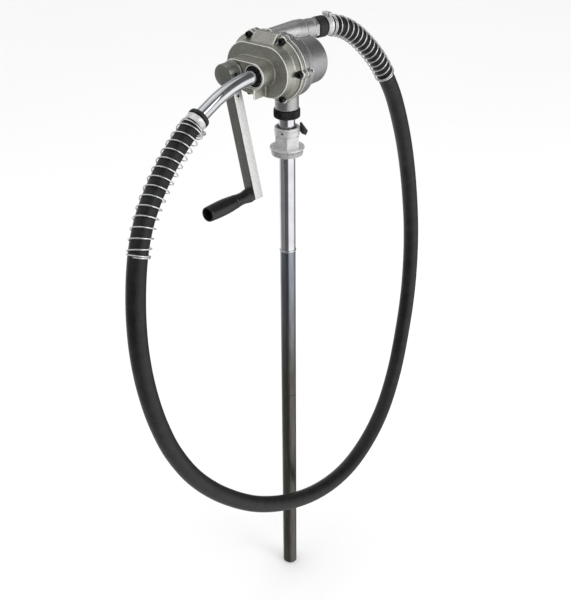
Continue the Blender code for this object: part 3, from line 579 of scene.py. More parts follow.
def cast_material(name, dark, light, bright, metallic):
    """Sand-cast aluminium: fine grain, slow mottling, and proud edges lightened and made less metallic,
    partly rubbed wear and partly a painted highlight.
    """
    made, tree, shader = start_material(name, light, 0.4, metallic)
    place = object_place(tree)
    grain = noise(tree, place, 520.0, 4.0, 0.7)
    mottle = noise(tree, place, 55.0, 3.0)
    pits = noise(tree, place, 260.0, 2.0, 0.5)
    colour = mixed(tree, ramp(tree, grain, 0.3, 0.7), dark, light)
    colour = mixed(tree, ramp(tree, mottle, 0.42, 0.72, 0.0, 0.35), colour, light)
    edge = add_node(tree, "ShaderNodeAttribute", {"attribute_name": "edge"}).outputs["Fac"]
    # Painted highlight on convex edges, partly real rubbed wear: proud edges take the bright colour and lose
    # metal so they stay light whatever they mirror.
    worn_and_highlit = ramp(tree, maths(tree, "ADD", edge, maths(tree, "MULTIPLY", pits, 0.05)), 0.06, 0.14)
    colour = mixed(tree, worn_and_highlit, colour, bright)
    link(tree, shader, "Metallic", ramp(tree, worn_and_highlit, 0.0, 1.0, metallic, 0.35))
    link(tree, shader, "Base Color", colour)
    glossed(tree, shader, grain, 0.2, 0.8, 0.34, 0.48)
    bumped(tree, shader, maths(tree, "ADD", grain, pits), 0.5, 0.0004)
    return made


def milled_material(name, dark, light):
    """Bare bar stock: fine draw lines along it, a few knocks and a satin face."""
    made, tree, shader = start_material(name, light, 0.38, 0.75)
    lines = noise(tree, object_place(tree, (1.0, 1.0, 0.06)), 900.0, 3.0, 0.6)
    knocks = noise(tree, object_place(tree), 130.0, 4.0, 0.75)
    colour = mixed(tree, ramp(tree, lines, 0.35, 0.65), dark, light)
    colour = mixed(tree, ramp(tree, knocks, 0.66, 0.72, 0.0, 0.5), colour, (0.8, 0.8, 0.78))
    link(tree, shader, "Base Color", colour)
    glossed(tree, shader, knocks, 0.3, 0.7, 0.33, 0.5)
    bumped(tree, shader, maths(tree, "ADD", lines, knocks), 0.25, 0.0002)
    return made


def chrome_material(name):
    """Polished plating with faint wiping marks."""
    made, tree, shader = start_material(name, (0.84, 0.85, 0.87), 0.07, 1.0)
    wipe = noise(tree, object_place(tree, (1.0, 1.0, 0.12)), 160.0, 4.0, 0.65)
    haze = noise(tree, object_place(tree), 24.0, 3.0)
    tinted(tree, shader, haze, 0.35, 0.7, (0.62, 0.635, 0.67), (0.78, 0.79, 0.81))
    glossed(tree, shader, wipe, 0.3, 0.75, 0.05, 0.16)
    bumped(tree, shader, wipe, 0.06, 0.0001)
    return made


def tube_material(name):
    """Drawn steel pipe, darker and duller towards its foot; the lighter bluish colour of its upper stretch is
    a painted highlight that fades downwards.
    """
    made, tree, shader = start_material(name, (0.3, 0.3, 0.3), 0.25, 1.0)
    place = object_place(tree)
    height = add_node(tree, "ShaderNodeSeparateXYZ", inputs={"Vector": place}).outputs["Z"]
    streaks = noise(tree, object_place(tree, (1.0, 1.0, 0.04)), 420.0, 4.0, 0.6)
    cloud = noise(tree, place, 26.0, 4.0, 0.6)
    uneven = maths(tree, "ADD", height, maths(tree, "MULTIPLY", cloud, 0.06))
    # Painted highlight: above the fade the pipe takes the lighter bluish colour, a soft reflection painted
    # in; below it stays the pipe's own dark colour.
    foot = ramp(tree, uneven, -0.42, -0.18, 1.0, 0.0)
    upper = mixed(tree, ramp(tree, streaks, 0.3, 0.7), (0.2, 0.215, 0.245), (0.34, 0.36, 0.41))
    lower = mixed(tree, ramp(tree, streaks, 0.3, 0.7), (0.085, 0.08, 0.07), (0.15, 0.142, 0.125))
    link(tree, shader, "Base Color", mixed(tree, foot, upper, lower))
    glossed(tree, shader, foot, 0.0, 1.0, 0.24, 0.42)
    bumped(tree, shader, maths(tree, "ADD", streaks, cloud), 0.12, 0.0002)
    return made


def zinc_material(name, dark, light, metallic):
    """Zinc plate over turned brass or steel."""
    made, tree, shader = start_material(name, light, 0.3, metallic)
    rings = noise(tree, object_place(tree, (0.08, 0.08, 1.0)), 1100.0, 2.0)
    cloud = noise(tree, object_place(tree), 90.0, 3.0)
    tinted(tree, shader, cloud, 0.35, 0.7, dark, light)
    glossed(tree, shader, cloud, 0.3, 0.7, 0.2, 0.4)
    bumped(tree, shader, rings, 0.2, 0.0002)
    return made


def wire_material(name):
    made, tree, shader = start_material(name, (0.86, 0.86, 0.85), 0.22, 0.9)
    cloud = noise(tree, object_place(tree), 300.0, 3.0)
    tinted(tree, shader, cloud, 0.35, 0.7, (0.74, 0.75, 0.76), (0.93, 0.93, 0.92))
    glossed(tree, shader, cloud, 0.3, 0.7, 0.16, 0.34)
    return made


def machined_material(name, dark, light):
    made, tree, shader = start_material(name, light, 0.3, 1.0)
    cuts = noise(tree, object_place(tree, (1.0, 0.05, 1.0)), 1300.0, 3.0)
    cloud = noise(tree, object_place(tree), 120.0, 3.0)
    tinted(tree, shader, cloud, 0.35, 0.7, dark, light)
    glossed(tree, shader, cuts, 0.3, 0.7, 0.22, 0.42)
    bumped(tree, shader, cuts, 0.15, 0.0002)
    return made


def black_material(name, dark, light, low, high, scale, strength, metallic=0.0):
    """Black steel, moulded plastic or rubber: each its own grain and gloss."""
    made, tree, shader = start_material(name, dark, low, metallic)
    grain = noise(tree, object_place(tree), scale, 4.0, 0.65)
    dust = noise(tree, object_place(tree), scale / 9.0, 3.0)
    tinted(tree, shader, dust, 0.4, 0.75, dark, light)
    glossed(tree, shader, grain, 0.3, 0.7, low, high)
    bumped(tree, shader, grain, strength, 0.0003)
    return made


def hose_material(name):
    """Rubber cover with the print of its cloth wrap: a slanted band and a fine weave in it."""
    made, tree, shader = start_material(name, (0.02, 0.021, 0.022), 0.4, 0.0)
    shader.inputs["Specular IOR Level"].default_value = 0.36
    wrap = add_node(tree, "ShaderNodeUVMap", {"uv_map": "wrap"})
    parts = add_node(tree, "ShaderNodeSeparateXYZ", inputs={"Vector": wrap.outputs["UV"]})
    turn, run = parts.outputs["X"], parts.outputs["Y"]
    band = maths(tree, "FRACT", maths(tree, "ADD", maths(tree, "MULTIPLY", run, 1.0 / WRAP_PITCH), turn))
    seam = ramp(tree, maths(tree, "ABSOLUTE", maths(tree, "SUBTRACT", band, 0.5)), 0.47, 0.5)
    threads = []
    for how in ("ADD", "SUBTRACT"):
        slanted = maths(tree, how, maths(tree, "MULTIPLY", run, 1.0 / WEAVE_PITCH), turn)
        threads.append(maths(tree, "SINE", maths(tree, "MULTIPLY", slanted, 2 * math.pi * WEAVE_THREADS)))
    weave = maths(tree, "MULTIPLY", *threads)
    cloud = noise(tree, object_place(tree), 60.0, 4.0, 0.65)
    dust = noise(tree, object_place(tree), 480.0, 3.0, 0.6)
    colour = mixed(tree, ramp(tree, cloud, 0.4, 0.72), (0.004, 0.0045, 0.005), (0.013, 0.0135, 0.014))
    colour = mixed(tree, ramp(tree, dust, 0.55, 0.8, 0.0, 0.3), colour, (0.035, 0.036, 0.037))
    link(tree, shader, "Base Color", colour)
    height = maths(tree, "ADD", maths(tree, "MULTIPLY", weave, 0.5), maths(tree, "MULTIPLY", seam, -1.2))
    height = maths(tree, "ADD", height, maths(tree, "MULTIPLY", dust, 0.8))
    glossed(tree, shader, dust, 0.3, 0.75, 0.3, 0.48)
    bumped(tree, shader, height, 0.4, 0.0004)
    return made


def paper_material(name):
    made, tree, shader = start_material(name, (0.1, 0.09, 0.07), 0.85, 0.0)
    fibre = noise(tree, object_place(tree), 700.0, 4.0, 0.7)
    tinted(tree, shader, fibre, 0.3, 0.7, (0.07, 0.065, 0.05), (0.16, 0.14, 0.1))
    bumped(tree, shader, fibre, 0.4, 0.0002)
    return made


def floor_material():
    made, tree, shader = start_material("studio_floor", (0.9, 0.9, 0.9), 0.9, 0.0)
    cloud = noise(tree, object_place(tree), 0.6, 2.0)
    link(tree, shader, "Base Color", mixed(tree, cloud, (0.93, 0.93, 0.93), (0.96, 0.96, 0.96)))
    return made


# ---------------------------------------------------------------- showing pieces

def show(item, node, *also, look=None, sharp=40.0):
    """Give a finished piece its looks, and let it stand for its CAD node on that node's body."""
    item.name = f"fine_{node}"
    item.data.name = item.name
    item.data.materials.clear()
    item.data.materials.append(look or LOOKS[SLOT_OF[node]])
    item.data.shade_smooth()
    if sharp:
        item.data.set_sharp_from_angle(angle=math.radians(sharp))
    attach(item, BODY_OF[node])
    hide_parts(node, *also)
    return item


def finish_sealed_parts():
    """CAD nodes whose own mesh is kept get their slot's finish."""
    for node, item in frame["nodes"].items():
        item.data.materials.clear()
        item.data.materials.append(LOOKS[SLOT_OF[node]])


# ---------------------------------------------------------------- hose and what is on it

def hose_line():
    return smooth_path(HOSE_ROUTE, 6 * MM)


def build_hose():
    points = hose_line()
    radii = [HOSE_R] * len(points)
    hose = swept("hose", points, radii, 40)
    show(hose, "delivery_hose", sharp=60.0)
    return hose, points


def spring_guard(node, path, start, length, turns, wire, slack_near, slack_far):
    """Wire coil that rests on the top of the hose and hangs lower by its slack."""
    per_turn = 28
    close = 1.6
    close_pitch = 2.2 * wire
    open_turns = turns - 2 * close
    open_length = length - 2 * close * close_pitch
    places = []
    for k in range(turns * per_turn + 1):
        turn = k / per_turn
        if turn < close:
            run = turn * close_pitch
        elif turn > turns - close:
            run = length - (turns - turn) * close_pitch
        else:
            run = close * close_pitch + open_length * (turn - close) / open_turns
        place, _, up, side = path_frame(path, start + run)
        share = run / length
        slack = slack_near + (slack_far - slack_near) * share
        if turn < close:
            slack *= 0.35 + 0.65 * turn / close
        a = 2 * math.pi * turn
        radius = HOSE_R + 0.4 * MM + wire + slack
        places.append(place - up * slack + (up * math.cos(a) + side * math.sin(a)) * radius)
    count = len(places)
    radii = [wire] * count
    radii[0] = radii[-1] = wire * 0.8
    return show(swept(node, places, radii, 10), node, look=WIRE)


def cuff(node, path, length, ribs):
    """Rubber end of the hose cover, with a rolled rim and shallow rings."""
    start, ahead, _, _ = path[0]
    inner, outer = HOSE_R + 0.3 * MM, HOSE_R + 2.4 * MM
    profile = [(outer - 0.9 * MM, length), (outer - 0.2 * MM, length - 0.4 * MM)]
    for k in range(ribs):
        middle = length * (ribs - k - 0.5) / ribs
        half = length / ribs / 2
        profile += [(outer - 0.5 * MM, middle + 0.75 * half), (outer, middle + 0.4 * half),
                    (outer, middle - 0.4 * half), (outer - 0.5 * MM, middle - 0.75 * half)]
    profile += [(outer - 0.6 * MM, 0.1 * MM), (outer - 1.2 * MM, 0.0), (inner, 0.0), (inner, length)]
    item = turned(node, profile, along(start + ahead * 0.4 * MM, ahead), 72, ring=True)
    return show(item, node)


def hose_clamp(node, place, ahead, up):
    """Worm clamp: rolled band with thread slots, a pressed housing and its slotted screw."""
    width = 11 * MM
    inner = HOSE_R + 0.5 * MM
    low, high = -width / 2, width / 2
    band = turned("band", [
        (inner + 0.9 * MM, high), (inner + 1.3 * MM, high - 0.5 * MM), (inner + 1.0 * MM, high - 1.6 * MM),
        (inner + 1.0 * MM, low + 1.6 * MM), (inner + 1.3 * MM, low + 0.5 * MM), (inner + 0.9 * MM, low),
        (inner, low), (inner, high),
    ], along(place, ahead), 96, ring=True)
    across = ahead.cross(up).normalized()
    for k in range(-7, 8):
        if abs(k) < 3:
            continue
        a = math.radians(8.5 * k)
        outward = up * math.cos(a) + across * math.sin(a)
        tangent = across * math.cos(a) - up * math.sin(a)
        basis = Matrix((tangent, ahead, outward)).transposed().to_4x4()
        slot = box("slot", mm(0.9, 6.0, 1.2),
                   Matrix.Translation(place + outward * (inner + 1.2 * MM)) @ basis)
        band = cut(band, slot)
    frame_turn = Matrix((across, ahead, up)).transposed().to_4x4()
    middle = place + up * (inner + 3.6 * MM)
    housing = box("housing", (14 * MM, width - 1 * MM, 6.0 * MM), Matrix.Translation(middle) @ frame_turn)
    housing = rounded(housing, 1.6 * MM, 4)
    bore = rod("bore", 3.0 * MM, middle - across * 12 * MM, middle + across * 12 * MM)
    clamp = show(cut(join(band, housing), bore), node)
    screw = rod("screw", 2.4 * MM, middle - across * 7.6 * MM, middle + across * 8 * MM, 24, 0.4 * MM)
    threads = []
    for k in range(7):
        at = middle + across * (-6.4 + 1.7 * k) * MM
        threads.append(turned("ridge", [mm(0.0, 0.5), mm(2.3, 0.5), mm(2.8, 0.0),
                                        mm(2.3, -0.5), mm(0.0, -0.5)], along(at, across), 24))
    head = flat("head", [polygon(3.6 * MM, 6, 0.3)], 4.1 * MM, along(middle + across * 9.4 * MM, across))
    head = rounded(head, 0.35 * MM, 2)
    slot = box("slot", mm(8, 0.9, 2.0), along(middle + across * 11.6 * MM, across))
    screw = cut(join(screw, head, *threads), slot)
    return clamp, show(screw, f"{node}_screw")


def build_hose_fittings(points):
    forward = level_frames(points)
    backward = level_frames(list(reversed(points)))
    pieces = [cuff("outlet_hose_cuff", forward, 15.0 * MM, 3),
              cuff("spout_hose_cuff", backward, 6.5 * MM, 1)]
    place, ahead, up, _ = path_frame(forward, 22.5 * MM)
    pieces += hose_clamp("outlet_hose_clamp", place, ahead, up)
    place, ahead, up, _ = path_frame(backward, 14.0 * MM)
    pieces += hose_clamp("spout_hose_clamp", place, ahead, -up)
    pieces.append(spring_guard("outlet_spring_guard", forward, 30 * MM, 190 * MM, 17, 1.15 * MM,
                               0.8 * MM, 0.8 * MM))
    pieces.append(spring_guard("spout_spring_guard", backward, 21 * MM, 218 * MM, 17, 1.15 * MM,
                               3.4 * MM, 0.8 * MM))
    return pieces


# ---------------------------------------------------------------- pump head

def outlet_point(distance):
    return OUTLET_START + OUTLET_DIR * distance


def build_body():
    body = head_plate("body", [flange_outline()], BODY_FRONT, -4 * MM)
    rear = head_plate("rear", [stadium(CRANK_X, 0.0, HEAD_R - 0.8 * MM)], -8 * MM, BODY_BACK)
    drum = turned("drum", [
        (0.0, DRUM_BACK), (DRUM_R - 3.4 * MM, DRUM_BACK), (DRUM_R - 1.3 * MM, DRUM_BACK - 0.8 * MM),
        (DRUM_R, DRUM_BACK - 3.2 * MM), (DRUM_R, 15.5 * MM), (DRUM_R + 1.2 * MM, 12.0 * MM),
        (DRUM_R + 3.4 * MM, 9.9 * MM), (DRUM_R + 6.5 * MM, BODY_BACK + 0.6 * MM),
        (DRUM_R + 6.5 * MM, 0.0), (0.0, 0.0),
    ], along((DRUM_X, 0, AXIS_Z), (0, 1, 0)), 160)
    boss = rod("boss", BOSS_R, mm(0, 0, 68.4), mm(0, 0, 105), ROUND)
    under_cover = block("under_cover", mm(50, 30, 40), mm(0, -28.7, 104))
    boss = cut(boss, under_cover)
    spigot = rod("spigot", 17.0 * MM, mm(0, 0, 63.6), mm(0, 0, 72), ROUND)
    passage = turned("passage", [
        mm(0.0, 85), mm(18.0, 85), mm(18.0, 70), mm(11.5, 12), mm(0.0, 12),
    ], along(OUTLET_START, OUTLET_DIR), ROUND)
    ahead = block("ahead", mm(90, 60, 60), mm(-30, -42, 182.5))
    passage = cut(passage, ahead)
    port = rod("port", 16.6 * MM, outlet_point(60 * MM), outlet_point(103 * MM), ROUND)
    body = join(body, rear, drum, boss, spigot, passage, port)
    cutters = [
        head_plate("recess", [stadium(CRANK_X, 0.0, 42 * MM)], BODY_FRONT - 2 * MM, -7 * MM),
        *[head_bore("chamber", 15.9 * MM, x, -9 * MM, 40 * MM, sides=64) for x in (DRIVER_X, IDLER_X)],
        *[head_bore("shaft_end", 5.3 * MM, x, 39 * MM, 50.3 * MM) for x in (DRIVER_X, IDLER_X)],
        rod("inlet", 9.0 * MM, mm(0, 2, 60), mm(0, 2, 132)),
        rod("riser", 8.0 * MM, (DRUM_X, 20 * MM, 145 * MM), outlet_point(52 * MM) - Vector(mm(5, 0, 0))),
        rod("outlet", 11.0 * MM, outlet_point(40 * MM), outlet_point(106 * MM)),
        rod("mark", 1.5 * MM, mm(20, 1, 192), mm(20, 1, 180), 16),
        block("mark", mm(1.6, 9, 12), mm(12, -2, 187)),
    ]
    cutters += [head_bore("screw_hole", 3.3 * MM, x, BODY_FRONT - 2 * MM, 5 * MM, AXIS_Z + z)
                for x, z in screw_points()]
    show(cast(cut(body, *cutters)), "pump_body", look=BODY_CAST, sharp=0)


def cover_pad():
    """Block with a sloping top between the two upper screws."""
    low, high = -42.0 * MM, 3.0 * MM
    outline = [(-42.0, 37.0), (-25.5, 55.6), (-16.2, 55.6), (-16.2, 37.0)]
    frame_turn = Matrix.Translation(((low + high) / 2, 0, AXIS_Z)) @ Matrix(
        ((0, 0, 1, 0), (1, 0, 0, 0), (0, 1, 0, 0), (0, 0, 0, 1)))
    return flat("pad", [[(y * MM, z * MM) for y, z in outline]], high - low, frame_turn)


def build_cover():
    cover = head_plate("cover", [flange_outline()], FLANGE_FRONT, COVER_BACK)
    wall = tapered_plate("wall", WALL_R, FACE_R, FACE_Y, -22.0 * MM)
    shoulder = tapered_plate("shoulder", SHOULDER_R, WALL_R, SHOULDER_Y, -21.0 * MM)
    holder = head_plate("holder", [stadium(CRANK_X, SPOUT_X, 20.5 * MM)], HOLDER_Y, FACE_Y + 4 * MM)
    web = block("web", mm(3.0, 29, 26), mm(-4.6, -60.8, 112.5))
    notches = [head_bore("notch", 6.4 * MM, x, -60 * MM, -12 * MM, AXIS_Z + z) for x, z in screw_points()]
    upper = cut(join(wall, shoulder, cover_pad()), *notches)
    cover = join(cover, upper, holder, web)
    cutters = [
        head_plate("cavity", [stadium(CRANK_X, 0.0, 34 * MM)], -43.5 * MM, COVER_BACK + 3 * MM),
        head_bore("spout_pocket", 17 * MM, SPOUT_X, HOLDER_Y - 3 * MM, -53 * MM, sides=64),
        head_bore("bush_hole", 10 * MM, CRANK_X, HOLDER_Y - 3 * MM, -40 * MM, sides=64),
        head_bore("seal_seat", 12.4 * MM, CRANK_X, HOLDER_Y - 3 * MM, -69 * MM, sides=64),
    ]
    cutters += [head_bore("screw_hole", 3.3 * MM, x, -30 * MM, COVER_BACK + 3 * MM, AXIS_Z + z)
                for x, z in screw_points()]
    show(cast(cut(cover, *cutters)), "gear_cover", look=COVER_CAST, sharp=0)


def build_cover_fittings():
    inner = stadium(CRANK_X, 0.0, 42.3 * MM)
    holes = [circle(place, 3.6 * MM) for place in screw_points()]
    gasket = head_plate("gasket", [flange_outline(0.2 * MM), inner, *holes], -15.3 * MM, -14.3 * MM)
    show(gasket, "cover_gasket")
    top, seat, end = FLANGE_FRONT - 6.3 * MM, FLANGE_FRONT - 0.3 * MM, 3.0 * MM
    length, head = end - top, end - seat
    for number, (x, z) in enumerate(screw_points(), 1):
        screw = turned("screw", [
            (0.0, length), (4.1 * MM, length), (4.7 * MM, length - 0.25 * MM), (5.0 * MM, length - 0.9 * MM),
            (5.0 * MM, head + 0.3 * MM), (4.7 * MM, head), (3.0 * MM, head), mm(3.0, 0.5),
            mm(2.5, 0.0), (0.0, 0.0),
        ], along((x, end, AXIS_Z + z), (0, -1, 0)), 64)
        socket = flat("socket", [polygon(2.9 * MM, 6, 0.4)], 6.0 * MM, facing_front(x, top, AXIS_Z + z))
        cone = turned("cone", [
            mm(0.0, 0.6), mm(3.3, 0.6), mm(2.6, -0.3), mm(0.0, -0.3),
        ], along((x, top + 0.3 * MM, AXIS_Z + z), (0, -1, 0)), 48)
        show(cut(screw, socket, cone), f"cover_screw_{number}")
    build_grommet()


def build_grommet():
    """Ring of soft rubber lips that grip the parked spout."""
    item = sleeve("grommet", SPOUT_R + 0.3 * MM, 16.6 * MM, (SPOUT_X, -58 * MM, AXIS_Z),
                  (SPOUT_X, -74.6 * MM, AXIS_Z), 96, 0.8 * MM)
    for vertex in item.data.vertices:
        across = Vector((vertex.co.x - SPOUT_X, 0.0, vertex.co.z - AXIS_Z))
        turn = math.atan2(across.z, across.x)
        if vertex.co.y < -70 * MM:
            vertex.co.y += (1.0 + math.sin(turn * 9)) * 1.5 * MM
    show(item, "spout_grommet")


def build_union():
    """Union nut with straight knurling and two plain rims."""
    sides = 240
    grooves = (0.0, 0.35, 0.7, 0.35)
    outer = ((54.0, 22.0 - 1.2, 0.0), (54.9, 22.0 - 0.3, 0.0), (56.0, 22.0, 1.0), (66.0, 22.0, 1.0),
             (67.1, 22.0 - 0.3, 0.0), (68.0, 22.0 - 1.2, 0.0))
    inner = ((68.0, 17.5, 0.0), (58.0, 17.5, 0.0), (58.0, 14.0, 0.0), (54.0, 14.0, 0.0))
    cage = bmesh.new()
    rings = []
    for height, radius, knurl in outer + inner:
        ring = []
        for k in range(sides):
            a = 2 * math.pi * k / sides
            reach = (radius - grooves[k % 4] * knurl) * MM
            ring.append(cage.verts.new((reach * math.cos(a), reach * math.sin(a), height * MM)))
        rings.append(ring)
    for low, high in zip(rings, rings[1:] + rings[:1]):
        for k in range(sides):
            after = (k + 1) % sides
            cage.faces.new((low[k], low[after], high[after], high[k]))
    bmesh.ops.recalc_face_normals(cage, faces=cage.faces)
    mesh = bpy.data.meshes.new("union")
    cage.to_mesh(mesh)
    cage.free()
    show(add_object("union", mesh), "union_ring", sharp=30.0)


def build_outlet_fitting():
    turn = along(outlet_point(0.0), OUTLET_DIR)
    nut = flat("nut", [polygon(17.6 * MM, 6, math.radians(30)), circle((0, 0), 8.5 * MM, 64)],
               6.4 * MM, turn @ Matrix.Translation(mm(0, 0, 106.5)))
    chamfer = turned("chamfer", [
        mm(6.0, 109.8), mm(16.0, 109.8), mm(17.7, 108.8), mm(17.7, 104.2),
        mm(16.0, 103.2), mm(6.0, 103.2),
    ], turn, ROUND, ring=True)
    stem = sleeve("stem", 8.5 * MM, 10.7 * MM, outlet_point(70 * MM), outlet_point(106 * MM), 64)
    show(join(keep_inside(nut, chamfer), stem), "outlet_fitting", look=GREY_ZINC)


# ---------------------------------------------------------------- crank

def crank_point(distance, y):
    return Vector((CRANK_X + distance * math.sin(CRANK_TILT), y, AXIS_Z - distance * math.cos(CRANK_TILT)))


def build_crank():
    hub = turned("hub", [
        (0.0, HUB_LENGTH), (HUB_R - 1.6 * MM, HUB_LENGTH), (HUB_R - 0.5 * MM, 24.2 * MM), (HUB_R, 23.1 * MM),
        (HUB_R, 9.4 * MM), (HUB_R - 0.6 * MM, 8.8 * MM), (HUB_R - 0.6 * MM, 7.9 * MM), (HUB_R, 7.3 * MM),
        (HUB_R, 5.0 * MM), (HUB_R + 1.4 * MM, 3.8 * MM), (HUB_R + 1.4 * MM, 0.6 * MM),
        (HUB_R + 0.8 * MM, 0.0), (0.0, 0.0),
    ], along((CRANK_X, ARM_BACK, AXIS_Z), (0, -1, 0)))
    length = CRANK_LENGTH + 9 * MM
    middle = crank_point(length / 2, (ARM_FRONT + ARM_BACK) / 2)
    tilt = Matrix.Rotation(-CRANK_TILT, 4, "Y") @ Matrix.Rotation(math.pi / 2, 4, "X")
    bar = box("bar", (ARM_WIDTH, length, ARM_BACK - ARM_FRONT), Matrix.Translation(middle) @ tilt)
    bar = rounded(bar, 1.1 * MM, 3)
    grip_place = crank_point(CRANK_LENGTH, 0.0)
    across = Vector((math.cos(CRANK_TILT), 0.0, math.sin(CRANK_TILT)))
    low = crank_point(36 * MM, -86.5 * MM)
    hub_axis = Vector((math.cos(HUB_SCREW_TURN), 0.0, math.sin(HUB_SCREW_TURN)))
    centre = Vector((CRANK_X, -90 * MM, AXIS_Z))
    arm = cut(
        join(hub, bar),
        head_bore("hole", SHAFT_R + 0.3 * MM, CRANK_X, -96.0 * MM, ARM_BACK + 3 * MM, sides=64),
        head_bore("hole", SPINDLE_R + 0.3 * MM, grip_place.x, ARM_FRONT - 3 * MM, ARM_BACK + 3 * MM,
                  grip_place.z),
        rod("hole", 2.4 * MM, low + across * 2 * MM, low + across * 13 * MM),
        rod("hole", 2.4 * MM, centre + hub_axis * 5 * MM, centre + hub_axis * 20 * MM),
    )
    show(arm, "crank_arm", sharp=30.0)
    arm.data.materials.append(ARM_CAST)
    hub_reach = HUB_R + 1.2 * MM
    for face in arm.data.polygons:
        from_hub = (face.center - Vector((CRANK_X, face.center.y, AXIS_Z))).length
        if face.normal.dot(across) < 0.8 or from_hub < hub_reach:
            face.material_index = 1
    for name, start, end in (
        ("arm_set_screw", low + across * 2.4 * MM, low + across * 8.8 * MM),
        ("hub_set_screw", centre + hub_axis * 7.3 * MM, centre + hub_axis * 15.6 * MM),
    ):
        direction = (end - start).normalized()
        screw = rod("screw", 2.15 * MM, start, end, 32, 0.3 * MM)
        socket = flat("socket", [polygon(1.2 * MM, 6, 0.0)], 3.0 * MM, along(end, direction))
        show(cut(screw, socket), name)


def build_grip():
    place = crank_point(CRANK_LENGTH, 0.0)
    x, z = place.x, place.z
    start = ARM_FRONT - 1.0 * MM
    length = start - GRIP_FRONT
    bore = SPINDLE_R + 0.3 * MM
    neck = [(12.2, 0.985), (11.6, 0.93), (10.2, 0.84), (10.0, 0.78), (10.6, 0.70), (11.5, 0.632)]
    bulge = [(11.9, 0.573), (12.4, 0.51), (12.8, 0.45), (13.05, 0.38), (13.1, 0.31), (12.95, 0.2),
             (12.6, 0.1), (12.2, 0.03)]
    groove = [(11.5, 0.618), (10.8, 0.607), (10.8, 0.592), (11.6, 0.581)]
    profile = [(11.4 * MM, length), (12.0 * MM, length - 0.3 * MM)]
    profile += [(p.x * MM, length * p.z) for p in smooth_path([(r, 0.0, s) for r, s in neck], 0.15)]
    profile += [(r * MM, length * s) for r, s in groove]
    profile += [(p.x * MM, length * p.z) for p in smooth_path([(r, 0.0, s) for r, s in bulge], 0.1)]
    profile += [mm(11.9, 0.8), mm(11.2, 0.0), mm(10.0, 0.0), mm(9.5, 0.6),
                (9.3 * MM, GRIP_RECESS), (bore, GRIP_RECESS), (bore, length)]
    show(turned("grip", profile, along((x, GRIP_FRONT, z), (0, 1, 0)), ROUND, ring=True), "crank_grip")
    seat = GRIP_FRONT + GRIP_RECESS - 0.3 * MM
    spindle = rod("spindle", SPINDLE_R, (x, ARM_BACK - 0.4 * MM, z), (x, seat - 0.1 * MM, z), 48, 0.4 * MM)
    head = rod("head", 6.6 * MM, (x, seat, z), (x, seat - 4.0 * MM, z), 48, 0.5 * MM)
    slot = box("slot", mm(14, 1.2, 3.0), facing_front(x, seat - 4.0 * MM, z))
    show(cut(join(spindle, head), slot), "grip_spindle")


# ---------------------------------------------------------------- spout, tube and adapter

def spout_route(count=28):
    places = [Vector((SPOUT_X, y, AXIS_Z)) for y in (SPOUT_TIP_Y, -64 * MM, -72 * MM)]
    centre = Vector((SPOUT_X, SPOUT_BEND_Y, AXIS_Z - SPOUT_BEND_R))
    for k in range(count + 1):
        a = SPOUT_DROP * k / count
        places.append(centre + Vector((0.0, -math.sin(a), math.cos(a))) * SPOUT_BEND_R)
    tail = Vector((0.0, -math.cos(SPOUT_DROP), -math.sin(SPOUT_DROP)))
    places.append(places[-1] + tail * (SPOUT_TAIL - 1.0 * MM))
    return places


def build_spout():
    places = spout_route()
    outer = swept("spout", places, [SPOUT_R] * len(places), 72)
    past = places[-1] + (places[-1] - places[-2]) * 0.1
    ends = [places[0] + Vector(mm(0, 2, 0))] + places[1:-1] + [past]
    bore = swept("bore", ends, [SPOUT_R - 1.5 * MM] * len(ends), 48)
    show(cut(outer, bore), "spout_tube", sharp=35.0)


def build_tube():
    upper, lower = TUBE_JOINTS
    inner = TUBE_R - 2.0 * MM
    show(sleeve("tube", inner, TUBE_R, (0, 0, upper + 0.3 * MM), mm(0, 0, 61)), "suction_tube_upper")
    show(sleeve("tube", inner, TUBE_R, (0, 0, lower + 0.3 * MM), (0, 0, upper)), "suction_tube_middle",
         look=DARK_TUBE)
    foot = sleeve("tube", inner, TUBE_R, mm(0, 0, -910), (0, 0, lower), edge=0.5 * MM)
    slant = box("slant", mm(80, 80, 20),
                Matrix.Translation(mm(0, 0, -917)) @ Matrix.Rotation(math.radians(7), 4, "Y"))
    show(cut(foot, slant), "suction_tube_lower", look=DARK_TUBE)
    bead = [(TUBE_R + 0.3 * MM, -1.6 * MM)]
    bead += [(TUBE_R + 0.2 * MM + 0.95 * MM * math.cos(a), 1.6 * MM * math.sin(a))
             for a in (-1.2, -0.7, -0.25, 0.25, 0.7, 1.2)]
    bead.append((TUBE_R + 0.3 * MM, 1.6 * MM))
    show(turned("bead", bead, Matrix.Translation((0, 0, upper)), ROUND, ring=True), "tube_joint_ring")


